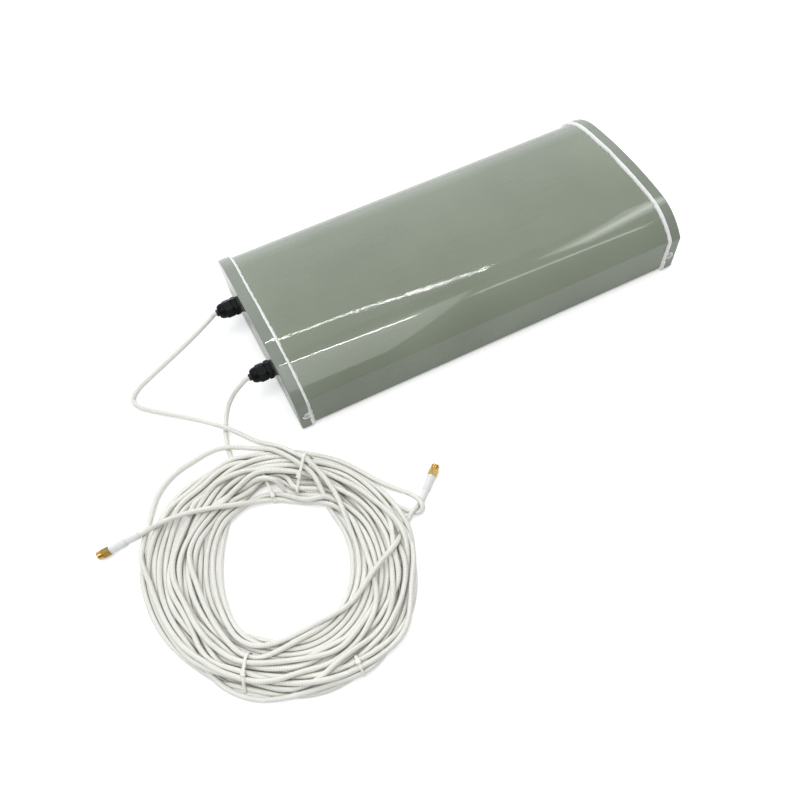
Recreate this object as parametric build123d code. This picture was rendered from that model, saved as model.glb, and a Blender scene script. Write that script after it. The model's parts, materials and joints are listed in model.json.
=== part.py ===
from build123d import *
import math
import os

# Panel yagi antenna: a D-section radome with two caps, two short yagi arrays
# side by side inside it, and two coaxial tails that leave through glands in
# the gland-end cap, run into one tied coil on the ground and end in SMA plugs.
#
# Frame: millimetres, +Z up. The origin is the centre of the flat back, on the
# plane the caps rest on. +X runs from the gland end to the far end, the crown
# of the radome is +Z, and the coil lies beside the gland end at -X, -Y.

# ------------------------------------------------------------- driving sizes
LENGTH = 430.0            # over both caps
WIDTH = 210.0             # over the caps
HEIGHT = 62.0             # rest plane to crown
CROWN_R = 593.0           # shallow arc over the middle
CROWN_HALF_DEG = 6.0
SHOULDER_R = 68.6         # tighter arc down to the sides
CORNER_R = 2.5            # section corner at zero inset
WALL = 2.5                # radome wall
STEP_IN = 2.0             # radome surface lies this far inside the cap surface
LINER_INSET = STEP_IN + WALL   # inner face of the radome
LINER_FIT = 0.3           # gap between the radome's inner face and parts in it

GLAND_END_X = -LENGTH / 2      # outer face of the gland-end cap
FAR_END_X = LENGTH / 2

ARRAY_Y = 46.0            # each gland, boom and array sits at +Y or -Y
AXIS_Z = 30.0             # height of the glands and booms
ARRAYS = (("a", 1), ("b", -1))
SIDES = (-1, 1)

CABLE_D = 4.8
CABLE_R = CABLE_D / 2
CABLE_BORE_R = CABLE_R + 0.06  # bore of parts that slip over the cable

os.makedirs("parts", exist_ok=True)


# ------------------------------------------------------------ general helpers
def one(shape):
    """The only solid in a shape."""
    solids = shape.solids()
    assert len(solids) == 1, len(solids)
    return solids[0]


def save(shape, name):
    """Write one piece. A list becomes a group of separate solids."""
    if isinstance(shape, list):
        shape = Compound(children=[Solid(one(piece).wrapped) for piece in shape])
    else:
        shape = one(shape)
    shape.label = name
    export_step(shape, f"parts/{name}.step")


def unit(v):
    return v / v.length


def level_normal(u):
    """A steady direction square to u: level where it can be."""
    w = Vector(0, 0, 1).cross(u)
    return w.normalized() if w.length > 0.1 else Vector(1, 0, 0)


def cone(start, end, start_r, end_r):
    start, end = Vector(*start), Vector(*end)
    v = end - start
    return Solid.make_cone(start_r, end_r, v.length, Plane(origin=start, z_dir=v.normalized()))


def rod(start, end, radius):
    start, end = Vector(*start), Vector(*end)
    v = end - start
    return Solid.make_cylinder(radius, v.length, Plane(origin=start, z_dir=v.normalized()))


def block(x0, x1, y0, y1, z0, z1):
    """A box between the given limits; the y limits may come in either order."""
    y0, y1 = sorted((y0, y1))
    return Solid.make_box(x1 - x0, y1 - y0, z1 - z0, Plane(origin=(x0, y0, z0)))


def turned(origin, axis, profile):
    """A solid of revolution; profile is (radius, station along the axis)."""
    origin, axis = Vector(*origin), Vector(*axis).normalized()
    outward = level_normal(axis)
    points = [origin + outward * r + axis * s for r, s in profile]
    face = Face(Wire.make_polygon(points, close=True))
    return Solid.revolve(face, 360, Axis(origin, axis))


def hex_prism(start, end, across_flats, turn=0.0, chamfer=0.0):
    """A hexagonal prism from start to end; chamfer trims both ends' corners."""
    start, end = Vector(*start), Vector(*end)
    v = end - start
    height = v.length
    direction = v.normalized()
    plane = Plane(origin=start, z_dir=direction, x_dir=level_normal(direction))
    corner_r = across_flats / math.sqrt(3)
    angles = [math.radians(60 * i + turn) for i in range(6)]
    points = [
        plane.from_local_coords(Vector(corner_r * math.cos(a), corner_r * math.sin(a), 0))
        for a in angles
    ]
    prism = Solid.extrude(Face(Wire.make_polygon(points, close=True)), v)
    if not chamfer:
        return prism
    flat_r = across_flats / 2
    end_r = flat_r - chamfer * 0.2
    clear_r = corner_r + 0.05
    drop = (clear_r - flat_r) * 0.6 + chamfer * 0.2
    envelope = turned(start, direction, [
        (0, 0), (end_r, 0), (clear_r, drop), (clear_r, height - drop), (end_r, height), (0, height),
    ])
    return (prism & envelope).solids()[0]


def on_axis(x, y):
    """A point on a gland's or boom's axis."""
    return (x, y, AXIS_Z)


# ---------------------------------------------------------------- D section
def profile_points(inset):
    """Points of the D section moved inward, as (y, z): half width, then the
    side's top, the shoulder's middle, its join to the crown, and the top."""
    crown_angle = math.radians(CROWN_HALF_DEG)
    crown_z = HEIGHT - CROWN_R
    between = CROWN_R - SHOULDER_R
    shoulder_y = between * math.sin(crown_angle)
    shoulder_z = crown_z + between * math.cos(crown_angle)
    crown_r, shoulder_r = CROWN_R - inset, SHOULDER_R - inset
    half_width = WIDTH / 2 - inset

    def on_shoulder(angle):
        return (
            shoulder_y + shoulder_r * math.sin(angle),
            shoulder_z + shoulder_r * math.cos(angle),
        )

    side_angle = math.asin((half_width - shoulder_y) / shoulder_r)
    side = (half_width, on_shoulder(side_angle)[1])
    middle = on_shoulder((crown_angle + side_angle) / 2)
    join = (crown_r * math.sin(crown_angle), crown_z + crown_r * math.cos(crown_angle))
    return half_width, side, middle, join, (0.0, crown_z + crown_r)


def d_face(x, inset, corner=None):
    """The D section at station x, moved inward, as a face normal to X."""
    half_width, side, middle, join, top = profile_points(inset)

    def place(point, sign=1):
        return Vector(x, sign * point[0], point[1])

    left, right = Vector(x, -half_width, inset), Vector(x, half_width, inset)
    face = Face(Wire([
        Edge.make_line(left, right),
        Edge.make_line(right, place(side)),
        Edge.make_three_point_arc(place(side), place(middle), place(join)),
        Edge.make_three_point_arc(place(join), place(top), place(join, -1)),
        Edge.make_three_point_arc(place(join, -1), place(middle, -1), place(side, -1)),
        Edge.make_line(place(side, -1), left),
    ]))
    radius = max(0.4, CORNER_R - inset * 0.5) if corner is None else corner
    # both ends of each vertical side
    return face.fillet_2d(
        radius, [v for v in face.vertices() if abs(abs(v.Y) - half_width) < 0.01]
    )


def d_prism(x_from, x_to, inset, corner=None):
    return Solid.extrude(d_face(x_from, inset, corner), Vector(x_to - x_from, 0, 0))


def edges_at(solid, x):
    """The edges that lie in the plane at station x."""
    return [
        e for e in solid.edges()
        if abs(e.center().X - x) < 0.01 and abs(e.bounding_box().size.X) < 0.01
    ]


# --------------------------------------------------------------- radome, caps
CAP_SKIRT = 12.0          # axial length of a cap, plate included
CAP_PLATE = 3.0
CAP_FIT = 0.15            # gap between cap and radome
CAP_CORNER_R = 3.0
CAP_EDGE_R = 1.6
RIB_DEPTH = 3.0           # how far the locating rib stands in from the cap plate
RIB_T = 1.6

BEAD_W = 3.0              # sealant bead along each cap joint
BEAD_H = 1.5
BEAD_EDGE_R = 1.1

SCREW_X = 207.2           # cap screws, from the middle of the length
SCREW_Z = 17.9
SCREW_HEAD_D = 5.6
SCREW_HEAD_H = 1.4
SCREW_R = 1.2
SCREW_TAPER_DEPTH = 7.0   # where the point begins, below the cap's side
SCREW_TIP_DEPTH = 9.0
SCREW_PILOT_R = 1.25      # hole in the radome
SCREW_CLEAR_R = 1.6       # hole in the cap
RECESS_HALF_L = 1.5       # cross recess in a screw head
RECESS_HALF_W = 0.3
RECESS_ARMS = ((RECESS_HALF_L, RECESS_HALF_W), (RECESS_HALF_W, RECESS_HALF_L))

GLAND_HOLE_R = 6.35

BACK_PITCH_X = 100.0      # M6 inserts in the back
BACK_PITCH_Y = 60.0
BACK_HOLES = [(sx * BACK_PITCH_X / 2, sy * BACK_PITCH_Y / 2) for sx in SIDES for sy in SIDES]
INSERT_D = 9.0
INSERT_HOLE_R = INSERT_D / 2 + 0.05
INSERT_H = 10.0
INSERT_COLLAR_R = 6.5
M6_MINOR_R = 2.6


def screw_point(x, side, depth):
    """A point on a cap screw's axis, this deep below the cap's side."""
    return (x, side * (WIDTH / 2 - depth), SCREW_Z)


def radome_shell():
    end_gap = CAP_PLATE + CAP_FIT
    shell = d_prism(GLAND_END_X + end_gap, FAR_END_X - end_gap, STEP_IN) - d_prism(
        GLAND_END_X - 5, FAR_END_X + 5, LINER_INSET
    )
    for end in SIDES:
        for side in SIDES:
            x = end * SCREW_X
            shell = shell - rod(
                screw_point(x, side, 10), screw_point(x, side, -3), SCREW_PILOT_R
            )
    for x, y in BACK_HOLES:
        shell = shell - rod((x, y, -1), (x, y, 8), INSERT_HOLE_R)
    return shell


def cap(end):
    """One end cap without gland holes; end -1 is the gland end."""
    outer_x = end * LENGTH / 2
    plate_x = end * (LENGTH / 2 - CAP_PLATE)
    skirt_x = end * (LENGTH / 2 - CAP_SKIRT)
    body = d_prism(outer_x, skirt_x, 0.0, CAP_CORNER_R)
    body = body.fillet(CAP_EDGE_R, edges_at(body, outer_x))
    body = body - d_prism(plate_x, skirt_x - end * 5, STEP_IN - CAP_FIT)
    # a low locating rib just inside the radome wall
    rib_x = plate_x - end * RIB_DEPTH
    rib_inset = LINER_INSET + LINER_FIT
    rib = d_prism(plate_x + end * 0.5, rib_x, rib_inset) - d_prism(
        plate_x + end * 2, rib_x - end * 2, rib_inset + RIB_T
    )
    body = body + rib
    x = end * SCREW_X
    for side in SIDES:
        body = body - rod(screw_point(x, side, 5), screw_point(x, side, -5), SCREW_CLEAR_R)
        # countersink
        body = body - cone(
            screw_point(x, side, 1.45), screw_point(x, side, -0.05), 1.45, 2.95
        )
        # the rib stands clear of the screw
        body = body - block(x - 3, x + 3, side * 96, side * 100.6, SCREW_Z - 3, SCREW_Z + 3)
    return body


def gland_end_cap():
    body = cap(-1)
    for side in SIDES:
        y = side * ARRAY_Y
        body = body - rod(
            on_axis(GLAND_END_X - 5, y), on_axis(GLAND_END_X + 8, y), GLAND_HOLE_R
        )
    return body


def sealant_bead(end):
    """Sealant in the corner between a cap's skirt and the radome."""
    skirt_x = end * (LENGTH / 2 - CAP_SKIRT)
    bead_x = skirt_x - end * BEAD_W
    bead = d_prism(skirt_x, bead_x, STEP_IN - BEAD_H)
    bead = bead.fillet(BEAD_EDGE_R, edges_at(bead, bead_x))
    return bead - d_prism(skirt_x + end, bead_x - end, STEP_IN)


def cap_screw(x, side):
    """A countersunk cross-recessed screw, its head flush with the cap's side."""
    surface, neck, taper, tip = (
        screw_point(x, side, depth)
        for depth in (0, SCREW_HEAD_H, SCREW_TAPER_DEPTH, SCREW_TIP_DEPTH)
    )
    screw = cone(neck, surface, 1.4, SCREW_HEAD_D / 2)
    screw = screw + rod(taper, neck, SCREW_R)
    screw = screw + cone(tip, taper, 0.2, SCREW_R)
    y = surface[1]
    for half_x, half_z in RECESS_ARMS:
        screw = screw - block(
            x - half_x, x + half_x, y - side * 0.9, y + side, SCREW_Z - half_z, SCREW_Z + half_z
        )
    return screw


save(radome_shell(), "radome_shell")
save(gland_end_cap(), "gland_end_cap")
save(cap(1), "far_end_cap")
save(sealant_bead(-1), "sealant_bead_gland_end")
save(sealant_bead(1), "sealant_bead_far_end")
save([cap_screw(end * SCREW_X, side) for end in SIDES for side in SIDES], "cap_screws")

# -------------------------------------------------------------- cable glands
# Profiles are (radius, distance outward, -X, from the flange's outer face).
WASHER_T = 1.5
FLANGE_T = 5.5
SEAT_X = GLAND_END_X - WASHER_T          # inner face of the flange
FLANGE_X = SEAT_X - FLANGE_T             # outer face of the flange
HEX_TURN = 30.0
THREAD_R = 6.2
NECK_R = 5.75
NECK_LEN = 8.0
NECK_TAPER = 2.5
LOCKNUT_T = 4.5
SLIT_LEN = 8.0
SLIT_SPAN = 14.0
SLIT_W = 0.8
SEAL_BORE_R = CABLE_R + 0.07

SEAL_PROFILE = [
    (SEAL_BORE_R, 2.0), (4.5, 2.0), (4.5, 11.2), (4.9, 11.2), (3.75, 14.6), (3.45, 15.4),
    (3.45, 17.4), (3.15, 17.9), (2.9, 17.9), (SEAL_BORE_R, 15.6),
]
NUT_HEX_START, NUT_HEX_END = 0.25, 9.6
NUT_HEX_ENVELOPE = [
    (0, NUT_HEX_START), (7.9, NUT_HEX_START), (8.6, 1.1), (8.8, 7.4),
    (7.2, NUT_HEX_END), (0, NUT_HEX_END),
]
NUT_DOME = [
    (0, 9.0), (7.45, 9.0), (7.35, 11.4), (6.7, 13.6), (5.7, 15.1), (4.9, 15.6), (0, 15.6),
]
NUT_BORE = [
    (0, -0.5), (5.81, -0.5), (5.81, 11.0), (5.2, 11.6), (3.85, 14.6), (3.6, 15.0),
    (3.6, 17.0), (0, 17.0),
]


def gland_turned(y, profile):
    return turned(on_axis(FLANGE_X, y), (-1, 0, 0), profile)


def gland_washer(y):
    return rod(on_axis(GLAND_END_X, y), on_axis(SEAT_X, y), 8.0) - rod(
        on_axis(GLAND_END_X + 1, y), on_axis(SEAT_X - 1, y), 6.27
    )


def gland_body(y):
    """Flange, thread through the cap and a slit neck that grips the seal."""
    neck_x = FLANGE_X - NECK_LEN
    step_x = FLANGE_X - 1.2              # where the narrow bore widens
    body = hex_prism(on_axis(FLANGE_X, y), on_axis(SEAT_X, y), 16.0, HEX_TURN, 0.6)
    body = body + rod(on_axis(SEAT_X, y), on_axis(GLAND_END_X + 10.0, y), THREAD_R)
    body = body + rod(on_axis(neck_x, y), on_axis(FLANGE_X, y), NECK_R)
    body = body + cone(on_axis(neck_x - NECK_TAPER, y), on_axis(neck_x, y), 5.0, NECK_R)
    body = body - rod(on_axis(step_x, y), on_axis(GLAND_END_X + 12.0, y), 3.4)
    body = body - rod(on_axis(FLANGE_X - 12.0, y), on_axis(step_x, y), 4.6)
    # slits between the clamping fingers
    for i in range(3):
        angle = math.radians(60 * i + 15)
        across = Vector(0, math.cos(angle), math.sin(angle))
        normal = Vector(0, -math.sin(angle), math.cos(angle))
        start = Vector(*on_axis(FLANGE_X - 11.5, y))
        corner = start - across * (SLIT_SPAN / 2) - normal * (SLIT_W / 2)
        body = body - Solid.make_box(
            SLIT_LEN, SLIT_SPAN, SLIT_W, Plane(origin=corner, x_dir=(1, 0, 0), z_dir=normal)
        )
    return body


def gland_locknut(y):
    inner_x = GLAND_END_X + CAP_PLATE
    nut = hex_prism(on_axis(inner_x, y), on_axis(inner_x + LOCKNUT_T, y), 15.8, HEX_TURN, 0.5)
    return nut - rod(on_axis(GLAND_END_X, y), on_axis(GLAND_END_X + 12, y), THREAD_R + 0.05)


def gland_dome_nut(y):
    prism = hex_prism(
        on_axis(FLANGE_X - NUT_HEX_START, y), on_axis(FLANGE_X - NUT_HEX_END, y), 15.4, HEX_TURN
    )
    nut = one(prism & gland_turned(y, NUT_HEX_ENVELOPE)) + gland_turned(y, NUT_DOME)
    return nut - gland_turned(y, NUT_BORE)


for tag, side in ARRAYS:
    gland_y = side * ARRAY_Y
    save(gland_washer(gland_y), f"gland_washer_{tag}")
    save(gland_body(gland_y), f"gland_body_{tag}")
    save(gland_locknut(gland_y), f"gland_locknut_{tag}")
    save(gland_turned(gland_y, SEAL_PROFILE), f"gland_seal_{tag}")
    save(gland_dome_nut(gland_y), f"gland_dome_nut_{tag}")

# ------------------------------------------------------------ coaxial cables
FEED_X = -152.0           # inside the feed box wall, where the cable straightens
FEED_Z = 41.2
CABLE_FEED_X = FEED_X + 5      # jacket end in the feed box
CABLE_LEVEL_X = -198.0         # back on the gland axis

# Points (x, y, z) on each cable's centre line, from its gland to its plug.
PATH_A = [
    (-241.5, 46, 30), (-249.006, 42.427, 29.337), (-266.978, 34.218, 26.804), (-285.621, 28.965, 22.231), (-304.403, 25.379, 16.618),
    (-323.216, 22.074, 10.855), (-341.991, 17.655, 5.824), (-348.975, 14.46, 4.275), (-353.108, 8.655, 3.225), (-351.577, 1.555, 2.83),
    (-343.76, -7.331, 2.764), (-329.133, -20.901, 2.995), (-314.988, -34.848, 4.721), (-301.222, -49.14, 6.825), (-287.7, -63.8, 8.147),
    (-274.701, -78.438, 7.395), (-264.826, -90.121, 3.176), (-258.347, -97.94, 2.551), (-249.985, -106.335, 3.249), (-241.681, -117.277, 7.202),
    (-232.291, -137.523, 15.575), (-227.747, -150.941, 26.747), (-220.691, -168.901, 19.607), (-217.172, -187.542, 15.358), (-217.011, -204.079, 14.276),
    (-219.132, -224.23, 7.444), (-220.793, -242.84, 2.899), (-226.471, -260.642, 2.59), (-236.724, -277.301, 2.55), (-250.633, -291.296, 2.551),
    (-264.127, -299.172, 2.547), (-275.206, -302.63, 2.45), (-286.904, -303.625, 2.45), (-302.423, -300.625, 2.47), (-316.072, -293.645, 2.45),
    (-330.887, -280.956, 2.45), (-345.347, -267.891, 2.45), (-349.462, -261.603, 2.45), (-353.554, -250.764, 2.45), (-355.307, -234.652, 2.541),
    (-352.658, -214.28, 2.55), (-346.492, -195.059, 2.55), (-337.465, -177.678, 2.694), (-329.821, -169.06, 3.837), (-316.737, -160.445, 8.182),
    (-305.954, -156.085, 7.236), (-289.476, -149.567, 2.455), (-280.797, -145.674, 3.15), (-275.945, -144.128, 3.425), (-263.855, -145.892, 3.394),
    (-239.512, -160.604, 3.416), (-223.966, -170.75, 4.261), (-211.821, -183.839, 2.591), (-202.204, -201.575, 2.626), (-195.724, -219.937, 2.45),
    (-194.71, -238.948, 2.484), (-196.799, -258.371, 2.504), (-200.733, -277.488, 2.45), (-206.946, -295.616, 2.45), (-218.021, -311.563, 2.597),
    (-231.736, -324.633, 2.463), (-241.821, -331.328, 2.773), (-256.728, -330.601, 3.384), (-275.971, -334.004, 3.289), (-294.298, -339.192, 2.458),
    (-306.386, -335.56, 2.547), (-323.707, -326.674, 2.841), (-340.707, -315.495, 3.35), (-355.177, -302.824, 3.415), (-366.982, -288.127, 2.993),
    (-376.764, -270.529, 2.513), (-383.942, -251.152, 2.45), (-386.081, -239.309, 2.45), (-382.68, -219.193, 2.45), (-377.087, -199.923, 2.45),
    (-369.127, -181.844, 2.45), (-359.171, -164.701, 2.45), (-348.38, -153.517, 2.45), (-330.814, -142.771, 2.591), (-315.218, -136.28, 2.779),
    (-295.32, -133.13, 7.507), (-288.144, -133.234, 7.164), (-278.062, -137.652, 2.494), (-266.58, -140.093, 4.986), (-248.593, -151.523, 8.432),
    (-247.752, -167.909, 13.061), (-233.85, -175.621, 11.64), (-216.028, -185.748, 5.294), (-209.86, -201.964, 2.821), (-205.051, -221.457, 2.478),
    (-205.134, -233.707, 2.45), (-209.064, -249.167, 2.45), (-218.181, -267.295, 2.45), (-228.818, -284.072, 2.551), (-242.508, -298.068, 2.564),
    (-255.621, -306.424, 2.578), (-270.163, -311.899, 2.571), (-285.444, -313.847, 2.678), (-301.457, -311.642, 2.959), (-315.949, -305.621, 3.336),
    (-331.463, -294.38, 3.584), (-344.45, -280.362, 3.287), (-354.235, -263.87, 2.536), (-360.212, -245.257, 2.454), (-362.095, -230.119, 2.564),
    (-360.405, -218.983, 2.571), (-354.132, -200.655, 2.45), (-346.687, -182.25, 2.839), (-339.058, -164.789, 2.494), (-331.215, -156.674, 3.199),
    (-314.699, -145.373, 2.528), (-304.689, -139.316, 3.833), (-293.419, -138.117, 8.186), (-280.709, -137.766, 9.373), (-272.065, -135.41, 8.076),
    (-263.723, -135.609, 5.648), (-256.616, -139.534, 3.246), (-239.631, -153.019, 3.407), (-223.567, -164.077, 3.462), (-209.928, -177.881, 2.564),
    (-199.257, -195.173, 2.504), (-191.847, -214.089, 2.543), (-189.342, -229.497, 2.45), (-190.387, -249.411, 2.45), (-193.544, -269.133, 2.464),
    (-198.346, -288.455, 2.507), (-205.025, -302.57, 3.017), (-217.939, -318.163, 5.119), (-233.858, -331.746, 5.556), (-252.311, -342.61, 4.484),
    (-271.9, -348.773, 3.235), (-293.717, -349.577, 2.956), (-310.522, -345.742, 2.465), (-327.248, -337.383, 2.858), (-347.515, -323.584, 7.546),
    (-360.018, -312.65, 7.649), (-372.226, -301.362, 2.935), (-380.54, -288.516, 2.455), (-390.884, -269.938, 2.73), (-398.714, -250.595, 2.65),
    (-403.34, -230.238, 2.549), (-404.646, -208.658, 2.547), (-402.858, -187.158, 2.561), (-399.881, -174.659, 2.45), (-390.902, -160.844, 2.631),
    (-378.117, -144.638, 2.9), (-364.696, -129.208, 3.868), (-351.38, -119.522, 2.64), (-331.916, -111.46, 2.736), (-315.463, -108.614, 2.685),
    (-295.592, -110.228, 6.94), (-283.757, -111.346, 7.601), (-263.222, -113.138, 3.377), (-247.298, -117.293, 2.499), (-229.595, -127.461, 2.645),
    (-213.383, -140.476, 2.626), (-198.701, -155.246, 2.549), (-187.365, -172.163, 2.55), (-177.752, -189.632, 2.551), (-166.287, -206.925, 3.594),
    (-154.882, -225.281, 9.26), (-152.157, -232.152, 10.733), (-151.452, -237.765, 9.872), (-152.652, -241.311, 7.395), (-155.27, -242.208, 4.805),
    (-158.886, -240.336, 3.097), (-165.561, -233.313, 2.608), (-177.078, -215.794, 2.45), (-186.735, -197.353, 2.475), (-195.375, -179.535, 2.788),
    (-203.097, -165.855, 4.941), (-217.312, -151.673, 8.456), (-232.428, -137.364, 8.174), (-245.745, -128.008, 8.085), (-257.149, -123.68, 9.981),
    (-278.116, -122.432, 14.027), (-291.031, -122.261, 12.877), (-310.646, -122.677, 5.828), (-321.733, -124.758, 2.94), (-332.725, -128.09, 2.776),
    (-349.683, -138.304, 6.138), (-361.05, -148.825, 3.53), (-371.876, -165.368, 3.373), (-381.016, -183.268, 2.501), (-385.158, -198.117, 2.745),
    (-385.874, -213.978, 5.382), (-385.161, -226.044, 8.168), (-381.712, -242.206, 5.629), (-375.308, -261.215, 3.132), (-366.708, -278.762, 3.49),
    (-354.943, -294.646, 9.286), (-345.264, -302.624, 10.261), (-328.115, -313.803, 8.99), (-309.403, -321.51, 7.582), (-293.91, -322.309, 5.026),
    (-278.979, -319.144, 3.693), (-260.561, -314.179, 2.67), (-243.878, -305.783, 2.45), (-229.389, -292.623, 2.51), (-219.809, -280.392, 2.888),
    (-213.166, -266.389, 5.794), (-210.726, -254.542, 7.862), (-209.493, -238.112, 6.195), (-210.709, -218.516, 2.779), (-214.694, -203.88, 2.739),
    (-222.379, -187.942, 6.45), (-241.313, -177.03, 7.803), (-254.841, -162.406, 3.283), (-261.198, -153.321, 18.706), (-271.732, -145.938, 17.012),
    (-290.734, -143.454, 8.419), (-310.289, -144.423, 7.674), (-325.1, -149.414, 8.004), (-342.194, -159.848, 7.875), (-357.688, -173.659, 7.999),
    (-367.066, -186.961, 7.351), (-373.94, -205.734, 3.909), (-377.998, -225.109, 2.683), (-376.705, -240.186, 2.625), (-371.372, -259.173, 5.955),
    (-368.222, -279.693, 8.991), (-366.31, -287.642, 8.127), (-362.352, -294.471, 8.409), (-350.183, -305.025, 8.531), (-333.942, -316.91, 8.031),
    (-317.473, -326.964, 7.786), (-300.094, -334.745, 8.241), (-281.825, -339.558, 9.302), (-262.503, -340.945, 10.244), (-240.513, -338.752, 9.839),
    (-223.924, -333.107, 6.569), (-213.194, -326.901, 3.988), (-201.446, -315.242, 2.562), (-190.22, -297.544, 2.715), (-182.414, -278.174, 2.506),
    (-174.422, -259.478, 3.856), (-172.312, -248.149, 7.714), (-173.118, -235.43, 9.966), (-175.818, -213.179, 6.923), (-182.469, -193.722, 3.397),
    (-191.363, -175.578, 2.532), (-202.596, -158.603, 2.976), (-217.082, -144.083, 3.436), (-232.795, -131.363, 3.595), (-249.657, -120.986, 5.243),
    (-269.649, -114.784, 9.877), (-282.363, -112.26, 12.644), (-290.99, -111.497, 12.872), (-307.49, -112.531, 8.871), (-326.702, -115.408, 3.174),
    (-341.305, -120.232, 2.866), (-358.557, -129.364, 6.947), (-370.267, -140.596, 7.065), (-383.631, -157.239, 7.224), (-393.708, -174.485, 3.828),
    (-397.883, -189.434, 2.594), (-399.564, -209.432, 2.638), (-398.379, -229.354, 3.461), (-394.633, -248.828, 5.236), (-388.315, -268.526, 8.326),
    (-380.324, -283.257, 12.588), (-372.741, -292.681, 11.895), (-359.279, -304.8, 8.693), (-345.104, -317.809, 8.791), (-328.784, -332.246, 7.71),
    (-321.277, -336.234, 7.354), (-309.315, -339.024, 8.39), (-293.401, -339.355, 13.165), (-281.328, -335.928, 15.35), (-261.557, -330.938, 12.129),
    (-243.206, -326.847, 7.399), (-229.985, -320.601, 8.087), (-221.121, -313.729, 10.453), (-213.748, -304.871, 13.547), (-208.645, -293.289, 13.996),
    (-200.716, -274.088, 9.592), (-194.602, -255.81, 7.452), (-193.974, -236.288, 7.731), (-197.171, -216.42, 9.138), (-203.577, -202.074, 12.793),
    (-214.098, -185.581, 11.419), (-224.275, -168.89, 11.08), (-232.051, -159.625, 12.858), (-241.62, -152.103, 13.109), (-260.413, -143.574, 17.646),
    (-272.756, -139.629, 18.523), (-288.687, -142.299, 15.427), (-307.709, -147.755, 11.108), (-325.381, -155.391, 8.197), (-342.193, -166.331, 8.409),
    (-350.786, -174.628, 8.266), (-355.354, -181.114, 9.317), (-358.1, -192.682, 9.641), (-359.51, -213.455, 8.232), (-359.843, -233.031, 7.614),
    (-358.008, -252.51, 7.918), (-352.84, -275.965, 9.214), (-349.468, -285.287, 9.867), (-345.012, -292.997, 10.174), (-339.579, -298.306, 10.04),
    (-332.843, -300.966, 9.399), (-316.903, -301.44, 8.214), (-295.908, -300.051, 7.265), (-276.568, -297.854, 3.718), (-266.106, -294.488, 2.56),
    (-253.184, -286.847, 2.662), (-242.185, -275.925, 2.551), (-232.044, -258.895, 2.55), (-226.082, -239.682, 2.599), (-224.646, -220.22, 2.679),
    (-226.96, -201.645, 5.218), (-226.262, -181.737, 14.02), (-227.875, -163.495, 20.856), (-232.968, -151.246, 18.408), (-241.645, -132.339, 14.7),
    (-252.281, -114.957, 8.743), (-260.809, -107.156, 5.05), (-270.25, -100.758, 4.408), (-287.549, -92.439, 7.539), (-302.921, -88.208, 5.803),
    (-318.87, -87.88, 2.92), (-338.302, -91.214, 2.55), (-352.27, -97.688, 2.55), (-364.236, -107.693, 2.749), (-375.555, -124.351, 2.451),
    (-392.941, -155.267, 4.782), (-395.836, -166.456, 9.004), (-395.864, -187.899, 8.01), (-396.171, -208.046, 7.574), (-395.394, -227.487, 7.945),
    (-392.319, -246.53, 9.425), (-385.875, -265.464, 12.144), (-375.351, -283.69, 16.069), (-367.241, -296.509, 16.218), (-355.161, -308.891, 14.05),
    (-339.512, -321.586, 15.546), (-327.388, -325.626, 14.961), (-306.387, -328.244, 11.634), (-287.584, -331.063, 8.443), (-272.498, -329.945, 8.095),
    (-257.47, -325.206, 8.763), (-243.55, -317.145, 9.508), (-231.795, -306.113, 9.135), (-225.599, -295.97, 8.229), (-220.071, -276.927, 8.131),
    (-216.781, -257.088, 8.035), (-214.367, -236.81, 7.959), (-214.003, -217.066, 7.04), (-215.984, -210.139, 7.176), (-221.98, -201.534, 9.821),
    (-227.409, -196.915, 12.721), (-232.135, -192.577, 11.289), (-244.051, -181.207, 3.076), (-254.009, -174.284, 2.537), (-267.392, -165.504, 4.297),
    (-280.656, -161.313, 5.499), (-298.162, -159.138, 12.369), (-319.817, -152.548, 14.138), (-342.194, -146.312, 14.187), (-361.588, -145.285, 15.903),
]
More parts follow.
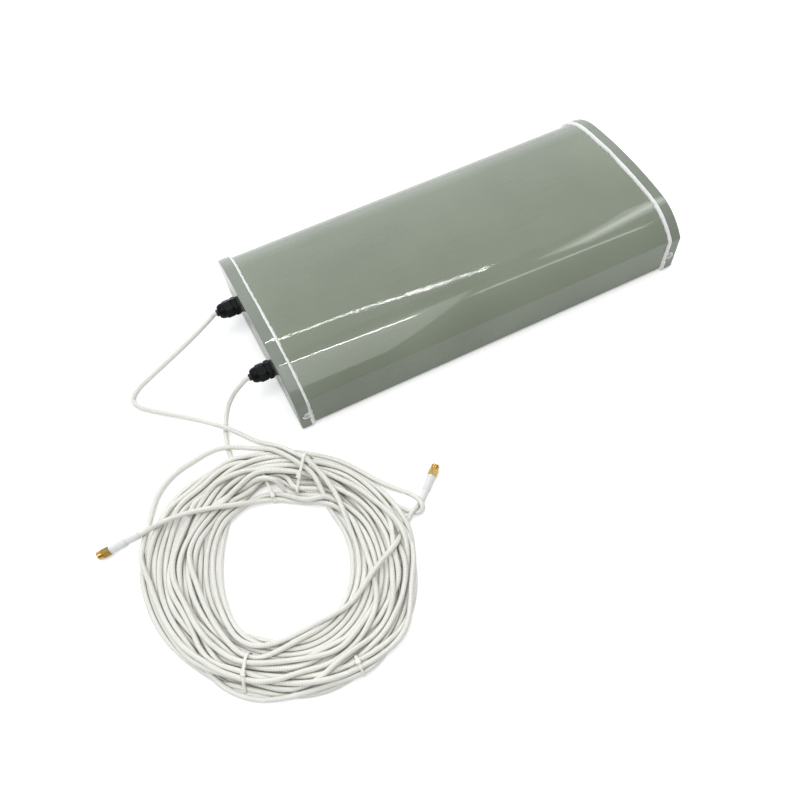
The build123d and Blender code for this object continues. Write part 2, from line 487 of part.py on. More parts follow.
PATH_B = [
    (-241.5, -46, 30), (-249.993, -46.741, 26.249), (-263.136, -48.41, 16.948), (-268.835, -50.895, 11.822), (-273.971, -55.195, 7.493),
    (-278.186, -61.314, 4.327), (-282.872, -72.283, 2.795), (-287.379, -90.881, 2.469), (-288.897, -110.706, 2.45), (-291.983, -130.891, 2.45),
    (-296.245, -142.028, 2.45), (-309.008, -157.127, 2.45), (-320.543, -173.43, 2.45), (-330.394, -190.715, 2.457), (-337.987, -208.485, 2.485),
    (-343.132, -226.913, 2.55), (-344.874, -243.911, 2.664), (-345.274, -254.928, 2.8), (-344.581, -259.216, 3.937), (-341.755, -269.247, 7.446),
    (-339.744, -275.118, 7.516), (-334.165, -284.141, 5.273), (-325.915, -292.502, 2.992), (-316.088, -299.751, 2.529), (-301.28, -306.365, 2.546),
    (-285.433, -308.743, 2.557), (-273.832, -307.532, 2.558), (-259.45, -302.637, 2.546), (-246.561, -294.584, 2.548), (-233.073, -280.994, 2.551),
    (-222.67, -264.581, 2.551), (-215.841, -246.997, 2.55), (-214.679, -232.183, 2.47), (-217.328, -213.14, 2.46), (-223.793, -196.117, 2.742),
    (-235.302, -182.905, 3.031), (-245.291, -166.094, 2.921), (-252.468, -156.526, 6.268), (-266.606, -144.03, 11.192), (-286.848, -149.419, 7.574),
    (-300.506, -149.349, 8.094), (-311.879, -151.594, 5.298), (-318.56, -154.326, 3.747), (-327.733, -160.834, 3.816), (-342.711, -173.84, 7.971),
    (-350.307, -182.656, 6.945), (-359.296, -199.594, 2.925), (-365.365, -217.863, 2.462), (-367.809, -237.273, 2.518), (-366.039, -256.861, 2.456),
    (-360.681, -276.927, 2.511), (-353.031, -296.684, 3.158), (-345.44, -305.046, 3.645), (-329.153, -316.337, 2.975), (-311.946, -327.384, 2.45),
    (-300.633, -331.868, 2.584), (-289.273, -331.516, 3.079), (-268.887, -327.186, 2.566), (-248.744, -324.222, 2.45), (-238.083, -322.387, 2.45),
    (-229.07, -315.677, 2.525), (-216.285, -301.066, 4.372), (-202.246, -285.767, 8.005), (-193.246, -276.812, 7.237), (-189.339, -270.092, 5.361),
    (-186.494, -258.58, 3.119), (-184.199, -237.904, 2.49), (-185.141, -217.342, 2.513), (-192.044, -198.503, 2.532), (-200.969, -180.159, 2.467),
    (-211.245, -162.395, 3.016), (-223.771, -146.918, 3.443), (-238.85, -133.401, 2.861), (-253.503, -123.874, 2.641), (-265.688, -118.323, 2.66),
    (-281.508, -116.652, 6.132), (-293.007, -117.465, 7.808), (-313.661, -118.05, 3.189), (-329.882, -121.691, 2.563), (-349.614, -129.373, 2.45),
    (-363.68, -137.129, 2.45), (-371.603, -145.499, 2.474), (-382.744, -163.01, 3.457), (-390.213, -182.162, 3.435), (-393.775, -201.502, 3.02),
    (-394.025, -221.467, 2.634), (-391.502, -241.301, 2.45), (-386.491, -260.431, 2.475), (-378.802, -279.262, 2.697), (-369.01, -296.071, 3.085),
    (-356.767, -310.801, 3.418), (-341.721, -323.034, 3.348), (-322.154, -333.454, 2.45), (-307.409, -341.24, 2.655), (-291.973, -344.35, 2.653),
    (-272.833, -339.203, 4.716), (-253.258, -335.215, 7.655), (-234.284, -329.357, 10.176), (-220.126, -319.602, 10.516), (-205.448, -305.27, 8.586),
    (-195.993, -291.732, 9.035), (-190.647, -280.63, 11.807), (-188.802, -269.256, 10.48), (-188.479, -249.492, 7.459), (-189.484, -229.087, 8.201),
    (-193.175, -209.409, 7.73), (-199.492, -190.441, 7.186), (-209.469, -172.495, 6.08), (-222.76, -156.996, 3.93), (-239.019, -145.935, 3.088),
    (-255.345, -134.465, 2.45), (-266.279, -129.437, 2.904), (-287.561, -128.077, 7.249), (-296.193, -127.887, 9.017), (-307.901, -131.245, 9.271),
    (-325.987, -142.866, 7.577), (-342.804, -154.511, 5.538), (-355.738, -168.757, 3.001), (-363.051, -182.218, 2.565), (-367.899, -201.346, 2.45),
    (-371.918, -220.821, 2.839), (-372.88, -236.341, 5.116), (-368.841, -251.493, 7.406), (-360.641, -271.622, 7.504), (-350.997, -291.59, 7.221),
    (-343.115, -300.23, 3.747), (-328.651, -310.762, 4.312), (-312.102, -320.744, 2.534), (-301.273, -326.456, 2.45), (-289.923, -326.462, 2.45),
    (-270.162, -322.281, 2.489), (-250.968, -319.471, 2.971), (-237.1, -317.323, 5.928), (-219.881, -306.324, 9.009), (-209.477, -299.621, 8.694),
    (-203.984, -294.044, 10.47), (-199.816, -287.409, 12.653), (-195.511, -271.261, 12.274), (-188.66, -250.99, 12.744), (-184.573, -239.999, 10.948),
    (-184.381, -228.448, 8.667), (-188.168, -208.457, 7.795), (-194.233, -188.941, 7.38), (-201.62, -174.614, 7.791), (-215.937, -159.888, 9.272),
    (-231.781, -146.895, 7.636), (-246.107, -134.27, 4.181), (-255.884, -128.369, 2.869), (-266.218, -123.176, 4.95), (-280.931, -117.955, 11.452),
    (-289.176, -116.705, 12.928), (-301.874, -116.971, 11.973), (-322.227, -121.893, 7.505), (-341.865, -128.162, 7.614), (-349.129, -131.855, 8.172),
    (-358.656, -139.181, 4.607), (-366.753, -147.6, 2.763), (-377.283, -163.535, 3.865), (-384.775, -180.804, 5.066), (-389.476, -199.937, 6.181),
    (-390.816, -219.152, 6.964), (-388.912, -238.56, 7.425), (-384.895, -257.86, 7.685), (-379.85, -277.197, 7.776), (-374.684, -297.242, 7.547),
    (-369.549, -309.037, 8.881), (-361.621, -319.694, 7.302), (-348.119, -331.374, 6.786), (-328.44, -339.797, 7.206), (-308.231, -344.737, 7.859),
    (-286.87, -348.093, 8.313), (-269.208, -350.691, 8.067), (-256.431, -349.74, 5.615), (-244.83, -345.072, 3.082), (-227.939, -332.342, 2.458),
    (-211.846, -318.836, 2.562), (-199.263, -303.275, 2.539), (-190.402, -285.021, 3.967), (-182.241, -266.393, 10.836), (-179.597, -258.384, 13.661),
    (-179.622, -249.398, 14.826), (-183.019, -231.896, 14.637), (-189.704, -212.002, 12.546), (-197.565, -193.834, 12.442), (-208.398, -176.84, 11.697),
    (-221.439, -161.143, 12.999), (-236.267, -146.441, 12.367), (-253.079, -135.785, 9.171), (-260.857, -132.772, 9.757), (-273.147, -130.823, 10.795),
    (-290.225, -134.574, 12.741), (-302.405, -136.647, 10.805), (-320.61, -143.33, 4.079), (-333.577, -151.844, 2.641), (-347.209, -165.872, 2.717),
    (-357.384, -182.475, 4.509), (-363.731, -201.194, 6.582), (-366.142, -221.347, 7.574), (-364.856, -241.824, 6.73), (-360.059, -261.87, 4.703),
    (-350.925, -283.34, 3.488), (-343.048, -293.217, 4.064), (-332.797, -301.859, 3.363), (-318.509, -310.658, 2.623), (-304.593, -316.063, 3.672),
    (-284.189, -317.609, 8.323), (-267.261, -317.933, 8.244), (-251.904, -315.093, 5.488), (-236.618, -310.052, 2.617), (-226.457, -304.219, 2.487),
    (-214.979, -291.507, 2.45), (-206.433, -277.002, 2.476), (-201.77, -257.075, 2.508), (-199.745, -237.218, 2.791), (-200.886, -218.016, 5.313),
    (-205.47, -198.312, 7.518), (-212.135, -179.221, 7.521), (-220.892, -165.815, 8.561), (-232.712, -155.133, 8.63), (-249.405, -143.4, 9.594),
    (-263.919, -136.595, 12.47), (-283.746, -131.582, 17.369), (-297.211, -130.026, 16.156), (-311.459, -129.428, 13.83), (-326.394, -135.745, 7.108),
    (-337.168, -140.376, 3.188), (-351.081, -148.54, 2.547), (-362.607, -160.555, 2.536), (-373.097, -178.573, 3.238), (-380.77, -197.404, 5.941),
    (-381.708, -208.877, 7.737), (-379.175, -229.334, 8.226), (-376.595, -249.559, 8.665), (-376.1, -269.678, 9.277), (-374.315, -277.358, 10.132),
    (-371.339, -284.485, 11.841), (-363.463, -293.804, 13.521), (-347.703, -308.729, 14.365), (-333.736, -322.366, 10.45), (-328.099, -326.736, 8.956),
    (-318.871, -332.582, 10.74), (-300.786, -342.065, 15.909), (-288.063, -345.479, 14.998), (-266.342, -346.833, 11.013), (-245.688, -344.713, 8.344),
    (-229.196, -340.789, 7.725), (-221.439, -337.368, 8.158), (-214.815, -332.217, 8.557), (-204.871, -318.172, 8.085), (-194.315, -299.807, 7.364),
    (-183.463, -282.051, 7.837), (-178.29, -270.67, 7.706), (-177.098, -258.592, 8.931), (-178.739, -238.53, 7.534), (-180.592, -219.241, 6.595),
    (-185.25, -199.515, 7.951), (-192.419, -179.861, 7.33), (-199.055, -169.537, 9.145), (-211.661, -158.447, 12.514), (-228.883, -145.614, 12.893),
    (-245.029, -134.111, 9.38), (-255.674, -129.285, 8.374), (-276.601, -124.733, 9.188), (-289.177, -122.66, 7.831), (-304.662, -125.777, 3.945),
    (-316.442, -129.188, 3.68), (-328.169, -131.059, 5.69), (-334.654, -134.194, 7.302), (-343.898, -147.476, 7.98), (-358.173, -163.886, 7.522),
    (-370.681, -180.666, 8.057), (-375.01, -191.887, 8.027), (-376.6, -203.717, 8.275), (-374.632, -223.737, 8.727), (-372.528, -243.836, 11.322),
    (-368.511, -263.83, 13.311), (-361.223, -280.13, 11.583), (-354.226, -291.79, 13.803), (-348.389, -298.223, 15.083), (-341.719, -302.946, 15.373),
    (-328.032, -308.772, 11.879), (-314.822, -313.121, 8.499), (-296.657, -320.012, 10.023), (-276.182, -324.628, 10.884), (-267.813, -323.597, 10.527),
    (-259.881, -320.859, 12.547), (-245.909, -312.277, 9.271), (-229.78, -300.145, 3.8), (-219.107, -288.548, 2.565), (-211.275, -274.837, 2.731),
    (-206.139, -255.129, 5.205), (-204.189, -234.418, 7.721), (-207.21, -217.778, 7.505), (-211.982, -206.502, 7.52), (-221.371, -194.733, 11.723),
    (-227.057, -190.103, 15.948), (-237.044, -188.167, 14.628), (-251.045, -174.21, 7.608), (-257.951, -165.841, 5.649), (-267.014, -159.576, 4.065),
    (-280.651, -155.915, 3.634), (-291.965, -156.922, 3.464), (-306.55, -161.576, 6.132), (-316.961, -166.947, 7.747), (-326.23, -174.433, 5.891),
    (-336.013, -187.08, 3.113), (-343.861, -205.441, 2.45), (-348.362, -224.494, 2.879), (-349.645, -243.838, 4.634), (-348.047, -264.309, 8.012),
    (-346.323, -272.434, 8.328), (-342.992, -279.782, 8.577), (-338.081, -285.907, 8.727), (-331.611, -290.366, 8.748), (-319.965, -294.01, 8.244),
    (-299.885, -294.881, 6.236), (-280.26, -293.999, 6.923), (-260.792, -294.142, 8.325), (-249.896, -292.482, 7.652), (-236.478, -286.227, 8.833),
    (-217.565, -276.437, 14.189), (-203.924, -270.723, 17.154), (-194.168, -267.013, 19.093), (-187.864, -261.862, 15.454), (-177.381, -248.52, 3.233),
    (-168.406, -241.725, 4.502), (-162.058, -238.093, 7.732),
]
PATHS = {"a": PATH_A, "b": PATH_B}

# Each plug's datum, just behind its sleeve, and its direction.
PLUGS = {
    "a": (Vector(-385.792, -141.657, 7.7), Vector(-0.996931, -0.016085, -0.076620)),
    "b": (Vector(-154.24, -235.157, 4.15), Vector(0.734149, 0.678989, 0.000000)),
}


def straight(start, end):
    """A straight piece of a run, as (start, tangent, end)."""
    start, end = Vector(*start), Vector(*end)
    return (start, unit(end - start), end)


def arcs_through(points, start_tangent, end_tangent):
    """(start, tangent, end) of two arcs per span, tangent-continuous."""
    points = [Vector(*p) for p in points]
    tangents = [Vector(*start_tangent)]
    for before, here, after in zip(points, points[1:], points[2:]):
        u, v = here - before, after - here
        tangents.append(unit(unit(u) * v.length + unit(v) * u.length))
    tangents.append(Vector(*end_tangent))
    arcs = []
    for start, end, t0, t1 in zip(points, points[1:], tangents, tangents[1:]):
        span, turn = end - start, 1 - t0.dot(t1)
        along = span.dot(t0 + t1)
        # equal tangent lengths at both ends put the two arcs' joint at middle
        if turn > 1e-9:
            reach = (-along + math.sqrt(along * along + 2 * turn * span.dot(span))) / (2 * turn)
        else:
            reach = span.dot(span) / (2 * along)
        middle = (start + t0 * reach + end - t1 * reach) * 0.5
        chord = middle - start
        middle_tangent = unit(chord * (2 * t0.dot(chord) / chord.dot(chord)) - t0)
        arcs += [(start, t0, middle), (middle, middle_tangent, end)]
    return arcs


def round_run(arcs, radius):
    """A round solid along a chain of arcs, each its own torus or cylinder wall."""
    start, tangent, _ = arcs[0]
    ring = Edge.make_circle(radius, Plane(origin=start, z_dir=tangent))
    faces = [Face(Wire([ring]))]
    for start, tangent, end in arcs:
        chord = end - start
        cosine = max(-1.0, min(1.0, tangent.dot(chord) / chord.length))
        half_angle = math.acos(cosine)
        if half_angle < 2e-5:
            faces.append(Face.extrude(ring, chord))
            ring = ring.moved(Location(chord))
            continue
        bend_r = chord.length / (2 * math.sin(half_angle))
        inward = unit(chord - tangent * chord.dot(tangent))
        axis = Axis(start + inward * bend_r, tangent.cross(inward))
        sweep = math.degrees(2 * half_angle)
        faces.append(Face.revolve(ring, sweep, axis))
        ring = ring.rotate(axis, sweep)
    faces.append(Face(Wire([ring])))
    solid = Solid(Shell(faces))
    return solid if solid.volume > 0 else Solid(solid.wrapped.Reversed())


def coax_cable(tag, y):
    """From the feed box down to the gland axis, out, round the coil to the plug."""
    path = PATHS[tag]
    datum, direction = PLUGS[tag]
    feed = (FEED_X, y, FEED_Z)
    level = on_axis(CABLE_LEVEL_X, y)
    outward = (-1, 0, 0)
    plug_entry = datum + direction * PLUG_ENTRY
    chain = [straight((CABLE_FEED_X, y, FEED_Z), feed)]
    chain += arcs_through([feed, level], outward, outward)
    chain += [straight(level, path[0])]
    chain += arcs_through(path + [plug_entry], outward, direction)
    chain += [straight(plug_entry, datum + direction * CABLE_END)]
    return round_run(chain, CABLE_R)


# --------------------------------------------------- plugs at the cable ends
# Stations run along the plug's axis from its datum.
PLUG_ENTRY = 4.0          # the cable is straight from here on
CABLE_END = 29.4          # inside the crimp
NUT_REAR = 33.05
NUT_HEX_FRONT = 40.2
NUT_FRONT = 44.8
NUT_FLATS = 8.0

# Turned pieces, as (radius, station).
PLUG_PROFILES = {
    "heat_shrink": [
        (CABLE_BORE_R, 4.6), (3.0, 4.6), (3.15, 4.9), (3.15, 16.3), (3.35, 16.9), (3.85, 17.5),
        (3.95, 18.0), (3.95, 32.7), (3.75, 32.95), (3.28, 32.95), (3.28, 18.9),
        (CABLE_BORE_R, 18.2),
    ],
    "crimp_ferrule": [
        (CABLE_BORE_R, 19.1), (3.1, 19.1), (3.25, 19.4), (3.25, 30.3), (CABLE_BORE_R, 30.3),
    ],
    "sma_body": [
        (2.05, 30.6), (3.2, 30.6), (3.2, 32.85), (2.6, 32.85), (2.6, 35.2), (2.3, 35.2),
        (2.3, 36.5), (2.6, 36.5), (2.6, 37.0), (2.8, 37.0), (2.8, 38.2), (2.35, 38.2),
        (2.35, 38.85), (2.28, 38.85), (2.28, 40.8), (2.05, 40.8),
    ],
    "sma_dielectric": [(0.66, 30.8), (2.03, 30.8), (2.03, 40.75), (0.66, 40.75)],
    "sma_centre_pin": [
        (0, 29.7), (0.64, 29.7), (0.64, 40.6), (0.46, 40.8), (0.46, 42.4), (0.2, 42.9), (0, 42.9),
    ],
    "sma_gasket": [(2.38, 38.22), (2.78, 38.22), (2.78, 38.8), (2.38, 38.8)],
}
SNAP_RING_PROFILE = [(2.33, 35.25), (2.94, 35.25), (2.94, 35.85), (2.33, 35.85)]
SNAP_RING_GAP = 1.4
NUT_COLLAR_PROFILE = [
    (0, 39.6), (3.6, 39.6), (3.6, 40.4), (3.98, 40.7), (3.98, 44.3), (3.6, NUT_FRONT),
    (0, NUT_FRONT),
]
NUT_BORE_PROFILE = [
    (0, 32), (2.95, 32), (2.95, 33.3), (2.65, 33.6), (2.65, 35.2), (3.0, 35.2), (3.0, 38.9),
    (2.86, 39.1), (2.86, 44.1), (3.25, 44.9), (3.25, 46), (0, 46),
]


def snap_ring(datum, direction):
    """A split ring, its gap on the plug's level side."""
    radial = level_normal(direction)
    corner = (
        datum + direction * 34.2 + radial * 2.0 - direction.cross(radial) * (SNAP_RING_GAP / 2)
    )
    gap = Solid.make_box(
        2.0, SNAP_RING_GAP, 3.0, Plane(origin=corner, x_dir=radial, z_dir=direction)
    )
    return turned(datum, direction, SNAP_RING_PROFILE) - gap


def coupling_nut(datum, direction):
    rear, front = datum + direction * NUT_REAR, datum + direction * NUT_HEX_FRONT
    nut = hex_prism(rear, front, NUT_FLATS, chamfer=0.35)
    nut = nut + turned(datum, direction, NUT_COLLAR_PROFILE)
    return nut - turned(datum, direction, NUT_BORE_PROFILE)


for tag, side in ARRAYS:
    save(coax_cable(tag, side * ARRAY_Y), f"coax_cable_{tag}")
    for piece, profile in PLUG_PROFILES.items():
        save(turned(*PLUGS[tag], profile), f"{piece}_{tag}")
    save(snap_ring(*PLUGS[tag]), f"sma_snap_ring_{tag}")
    save(coupling_nut(*PLUGS[tag]), f"sma_coupling_nut_{tag}")

# ---------------------------------------------------------------- cable ties
TIE_W = 2.5
TIE_T = 0.9
TIE_Z = 6                 # height of each tie's middle
# Each tie: middle (x, y); direction across the bundle (x, y); head, as distance
# across and up from the middle and the angle it faces in degrees from across
# towards up; distances from the middle to the bundle at equal angle steps.
TIES = [
    ((-228.945, -153.869), (-0.677744, -0.735298), (14.376, 15.264, 60), [
        25.826, 26.568, 26.893, 26.813, 26.312, 25.399, 24.088, 22.421, 20.407, 21.163, 22.251, 23.004,
        23.434, 23.521, 23.294, 22.762, 21.901, 20.74, 19.267, 17.503, 15.527, 13.287, 12.595, 12.511,
        12.251, 11.819, 11.458, 11.419, 11.221, 10.87, 10.37, 9.748, 8.996, 8.129, 7.159, 6.123,
        5.019, 6.478, 7.91, 9.26, 10.502, 11.634, 13.86, 16.593, 19.08, 21.278, 23.149, 24.68]),
    ((-347.142, -304.004), (-0.442659, -0.896690), (5.786, 11.284, 82.5), [
        18.529, 18.652, 18.487, 18.007, 17.294, 16.356, 15.338, 15.034, 14.528, 13.858, 12.986, 11.943,
        11.873, 12.274, 12.503, 12.592, 12.534, 12.297, 12.588, 13.04, 13.399, 13.537, 13.444, 13.732,
        14.084, 14.236, 14.186, 13.944, 13.51, 12.884, 12.062, 11.036, 9.913, 8.676, 7.317, 5.873,
        5.019, 6.603, 8.12, 9.548, 10.849, 11.999, 12.986, 13.988, 15.39, 16.546, 17.46, 18.129]),
    ((-263.986, -342.801), (-0.035779, -0.999360), (0.2, 6.99, 97.5), [
        10.405, 10.531, 10.517, 10.374, 10.09, 9.67, 9.128, 8.781, 8.694, 8.497, 8.194, 7.805,
        7.321, 6.904, 7.031, 7.094, 7.073, 6.968, 6.781, 7.102, 7.493, 7.796, 8.005, 8.121,
        8.148, 8.073, 7.896, 7.626, 7.238, 6.809, 6.297, 5.735, 5.186, 4.583, 3.936, 4.265,
        4.894, 5.462, 5.974, 6.481, 6.901, 7.217, 7.451, 7.991, 8.678, 9.253, 9.73, 10.138]),
    ((-268.005, -157.622), (-0.035482, -0.999370), (5.04, 2.146, 67.5), [
        10.581, 10.292, 9.869, 9.317, 8.648, 7.831, 6.923, 5.976, 4.94, 3.912, 3.939, 5.841,
        7.695, 9.46, 11.102, 12.612, 13.943, 15.073, 15.983, 16.674, 17.118, 17.306, 17.236, 16.926,
        16.364, 15.56, 14.528, 13.302, 11.886, 10.304, 8.584, 6.772, 4.882, 4.091, 4.29, 4.429,
        4.587, 5.263, 6.242, 7.23, 8.1, 8.84, 9.475, 9.993, 10.382, 10.636, 10.752, 10.732]),
]


def tie_corners(distances, grow):
    """Corners (across, up) of the polygon whose sides lie at distances + grow."""
    count = len(distances)
    corners = []
    for i in range(count):
        a0, a1 = 2 * math.pi * i / count, 2 * math.pi * (i + 1) / count
        h0, h1 = distances[i] + grow, distances[(i + 1) % count] + grow
        det = math.sin(a1 - a0)
        corner = (
            (h0 * math.sin(a1) - h1 * math.sin(a0)) / det,
            (h1 * math.cos(a0) - h0 * math.cos(a1)) / det,
        )
        # corners that all but coincide are one
        if not corners or math.dist(corner, corners[-1]) > 0.3:
            corners.append(corner)
    if math.dist(corners[0], corners[-1]) < 0.3:
        corners.pop()
    return corners


def cable_tie(centre, direction, head, distances):
    """A band round the bundle, with its head and a cut-off tail stub."""
    across, up = Vector(*direction, 0), Vector(0, 0, 1)
    along = Vector(-direction[1], direction[0], 0)
    middle = Vector(*centre, TIE_Z)

    def filled(grow):
        points = [
            middle + across * s + up * z - along * (TIE_W / 2)
            for s, z in tie_corners(distances, grow)
        ]
        return Solid.extrude(Face(Wire.make_polygon(points, close=True)), along * TIE_W)

    band = filled(TIE_T) - filled(0.0)
    head_s, head_z, head_deg = head
    angle = math.radians(head_deg)
    normal = across * math.cos(angle) + up * math.sin(angle)
    tangent = across * -math.sin(angle) + up * math.cos(angle)
    head_centre = middle + across * head_s + up * head_z

    def head_box(t0, t1, n0, n1, half_width):
        """A box between limits along the band and outward from it."""
        corner = head_centre + tangent * t0 + normal * n0 - normal.cross(tangent) * half_width
        return Solid.make_box(
            t1 - t0, 2 * half_width, n1 - n0, Plane(origin=corner, x_dir=tangent, z_dir=normal)
        )

    block_ = head_box(-2.4, 2.4, TIE_T * 0.5, TIE_T + 2.6, 2.1)
    block_ = block_.chamfer(0.45, None, block_.edges())
    stub = head_box(2.0, 5.0, TIE_T + 0.5, TIE_T + 1.5, 1.2)
    return band + block_ + stub


for number, tie in enumerate(TIES, 1):
    save(cable_tie(*tie), f"cable_tie_{number}")

# ----------------------------------------------------- inside: the two arrays
BOOM = 10.0               # square tube
BOOM_WALL = 1.2
BOOM_X = (-182, 190)
BOOM_TOP_Z = AXIS_Z + BOOM / 2
ROD_R = 2.0
ROD_HOLE_R = ROD_R + 0.05

# Elements, as (x, length).
REFLECTOR = (-166.0, 74.0)
DIRECTORS = [
    (-98.0, 59.0), (-66.0, 58.0), (-32.0, 57.0), (2.0, 56.0), (37.0, 55.0),
    (72.0, 54.0), (107.0, 53.0), (142.0, 52.0), (177.0, 51.0),
]
ELEMENTS = [REFLECTOR] + DIRECTORS
# Head of an element screw, as (radius, height above the boom).
ELEMENT_HEAD = [(0, 0), (2.75, 0), (2.75, 0.7), (2.3, 1.5), (1.4, 1.9), (0, 1.9)]

BOX_X = (-154.0, -118.0)  # feed box on top of the boom
BOX_HALF_W = 14.0
BOX_TOP_Z = 46.0
BOX_WALL = 2.5
BOX_FLOOR_Z = BOOM_TOP_Z + 2.0
BOX_CORNER_R = 1.5
LID_T = 1.8
BOARD_X = (-150.5, -121.5)
BOARD_HALF_W = 10.0
BOARD_T = 1.2

DIPOLE_X = (-140.0, -126.0)    # the folded dipole's two limbs
DIPOLE_HALF = 34.0
DIPOLE_HALF_GAP = 3.0          # at the feed

FORMER_X = {"rear": -108.0, "front": 124.5}
FORMER_T = 5.0
FORMER_CUT = 9                 # half length of the cutters through a former


def boom(y):
    outer, inner = BOOM / 2, BOOM / 2 - BOOM_WALL
    x0, x1 = BOOM_X
    tube = block(x0, x1, y - outer, y + outer, AXIS_Z - outer, AXIS_Z + outer) - block(
        x0 - 8, x1 + 10, y - inner, y + inner, AXIS_Z - inner, AXIS_Z + inner
    )
    for x, _ in ELEMENTS:
        tube = tube - rod(on_axis(x, y - 9), on_axis(x, y + 9), ROD_HOLE_R)
        tube = tube - rod((x, y, AXIS_Z + 1), (x, y, AXIS_Z + 8), 1.3)
    return tube


def element(x, length, y):
    return rod(on_axis(x, y - length / 2), on_axis(x, y + length / 2), ROD_R)


def element_screw(x, y):
    """A cross-recessed screw through the boom's top, down to the element."""
    z = BOOM_TOP_Z
    screw = rod((x, y, AXIS_Z + ROD_R), (x, y, z + 0.5), 1.25)
    screw = screw + turned((x, y, z), (0, 0, 1), ELEMENT_HEAD)
    for half_x, half_y in RECESS_ARMS:
        screw = screw - block(x - half_x, x + half_x, y - half_y, y + half_y, z + 1.0, z + 3)
    return screw


def box_block(y, inset, z0, z1):
    """A block over the feed box's plan, moved in by inset."""
    half = BOX_HALF_W - inset
    return block(BOX_X[0] + inset, BOX_X[1] - inset, y - half, y + half, z0, z1)


def rounded_box_block(y, z0, z1):
    solid = box_block(y, 0.0, z0, z1)
    return solid.fillet(BOX_CORNER_R, solid.edges().filter_by(Axis.Z))


def feed_box(y):
    box = rounded_box_block(y, BOOM_TOP_Z, BOX_TOP_Z)
    box = box - box_block(y, BOX_WALL, BOX_FLOOR_Z, BOX_TOP_Z + 1)
    for x in DIPOLE_X:
        box = box - rod((x, y - 20, FEED_Z), (x, y + 20, FEED_Z), ROD_HOLE_R)
    x = BOX_X[0]
    return box - rod((x - 2, y, FEED_Z), (x + 4, y, FEED_Z), CABLE_BORE_R)


def feed_box_lid(y):
    """A plate with a rim that drops inside the box walls."""
    lid = rounded_box_block(y, BOX_TOP_Z, BOX_TOP_Z + LID_T)
    rim = box_block(y, BOX_WALL + 0.2, BOX_TOP_Z - 1.2, BOX_TOP_Z + 0.2)
    return lid + (rim - box_block(y, 4, BOX_TOP_Z - 2, BOX_TOP_Z))


def feed_board(y):
    board = block(
        *BOARD_X, y - BOARD_HALF_W, y + BOARD_HALF_W, BOX_FLOOR_Z, BOX_FLOOR_Z + BOARD_T
    )
    return board - rod((-131, y, 36), (-131, y, 40), 1.6)


def folded_dipole(y):
    x0, x1 = DIPOLE_X
    bend_r = (x1 - x0) / 2
    middle_x = x0 + bend_r
    limb = DIPOLE_HALF - bend_r

    def at(x, offset):
        return Vector(x, y + offset, FEED_Z)

    return round_run([
        straight(at(x0, DIPOLE_HALF_GAP), at(x0, limb)),
        (at(x0, limb), Vector(0, 1, 0), at(middle_x, DIPOLE_HALF)),
        (at(middle_x, DIPOLE_HALF), Vector(1, 0, 0), at(x1, limb)),
        straight(at(x1, limb), at(x1, -limb)),
        (at(x1, -limb), Vector(0, -1, 0), at(middle_x, -DIPOLE_HALF)),
        (at(middle_x, -DIPOLE_HALF), Vector(-1, 0, 0), at(x0, -limb)),
        straight(at(x0, -limb), at(x0, -DIPOLE_HALF_GAP)),
    ], ROD_R)


def coax_stripped_end(y):
    """A thick length beyond the cable's end, then a thin one to the dipole."""
    x, z = CABLE_FEED_X, FEED_Z
    return rod((x, y, z), (x + 3.5, y, z), 1.475) + rod(
        (x + 3, y, z), (DIPOLE_X[0] + 1.0, y, z), 0.45
    )


element_screws = []
for tag, side in ARRAYS:
    array_y = side * ARRAY_Y
    save(boom(array_y), f"boom_{tag}")
    save(element(*REFLECTOR, array_y), f"reflector_{tag}")
    save([element(x, length, array_y) for x, length in DIRECTORS], f"directors_{tag}")
    save(feed_box(array_y), f"feed_box_{tag}")
    save(feed_box_lid(array_y), f"feed_box_lid_{tag}")
    save(feed_board(array_y), f"feed_board_{tag}")
    save(folded_dipole(array_y), f"folded_dipole_{tag}")
    save(coax_stripped_end(array_y), f"coax_stripped_end_{tag}")
    element_screws += [element_screw(x, array_y) for x, _ in ELEMENTS]
save(element_screws, "element_screws")


def boom_former(x):
    """A plastic bridge that holds both booms square to the radome."""
    x0, x1 = x - FORMER_CUT, x + FORMER_CUT
    half = BOOM / 2 + 0.1
    former = d_prism(x - FORMER_T / 2, x + FORMER_T / 2, LINER_INSET + LINER_FIT, 1.0)
    for side in SIDES:
        y = side * ARRAY_Y
        former = former - block(x0, x1, y - half, y + half, AXIS_Z - half, AXIS_Z + half)
        for hole_y in (y - 22, y + 22):
            former = former - rod((x0, hole_y, AXIS_Z - 4), (x1, hole_y, AXIS_Z - 4), 9.0)
    return former - rod((x0, 0, AXIS_Z + 2), (x1, 0, AXIS_Z + 2), 13.0)


for place, former_x in FORMER_X.items():
    save(boom_former(former_x), f"boom_former_{place}")

# ------------------------------------------------- mounting plate and inserts
PLATE_HALF_X = 65
PLATE_HALF_Y = 45
PLATE_T = 3.0
PLATE_CORNER_R = 6.0
PLATE_HOLE_R = 12.0
PLATE_TOP_Z = LINER_INSET + PLATE_T


def mounting_plate():
    """A plate on the inside of the radome's back."""
    plate = block(
        -PLATE_HALF_X, PLATE_HALF_X, -PLATE_HALF_Y, PLATE_HALF_Y, LINER_INSET, PLATE_TOP_Z
    )
    plate = plate.fillet(PLATE_CORNER_R, plate.edges().filter_by(Axis.Z))
    for x, y in BACK_HOLES:
        plate = plate - rod((x, y, 0), (x, y, 12), INSERT_HOLE_R)
    return plate - rod((0, 0, 0), (0, 0, 12), PLATE_HOLE_R)


def mount_insert(x, y):
    """A bored insert with a collar above the mounting plate."""
    insert = rod((x, y, 0), (x, y, INSERT_H), INSERT_D / 2) + rod(
        (x, y, PLATE_TOP_Z + 0.05), (x, y, PLATE_TOP_Z + 1.3), INSERT_COLLAR_R
    )
    return insert - rod((x, y, 0), (x, y, 12), M6_MINOR_R)


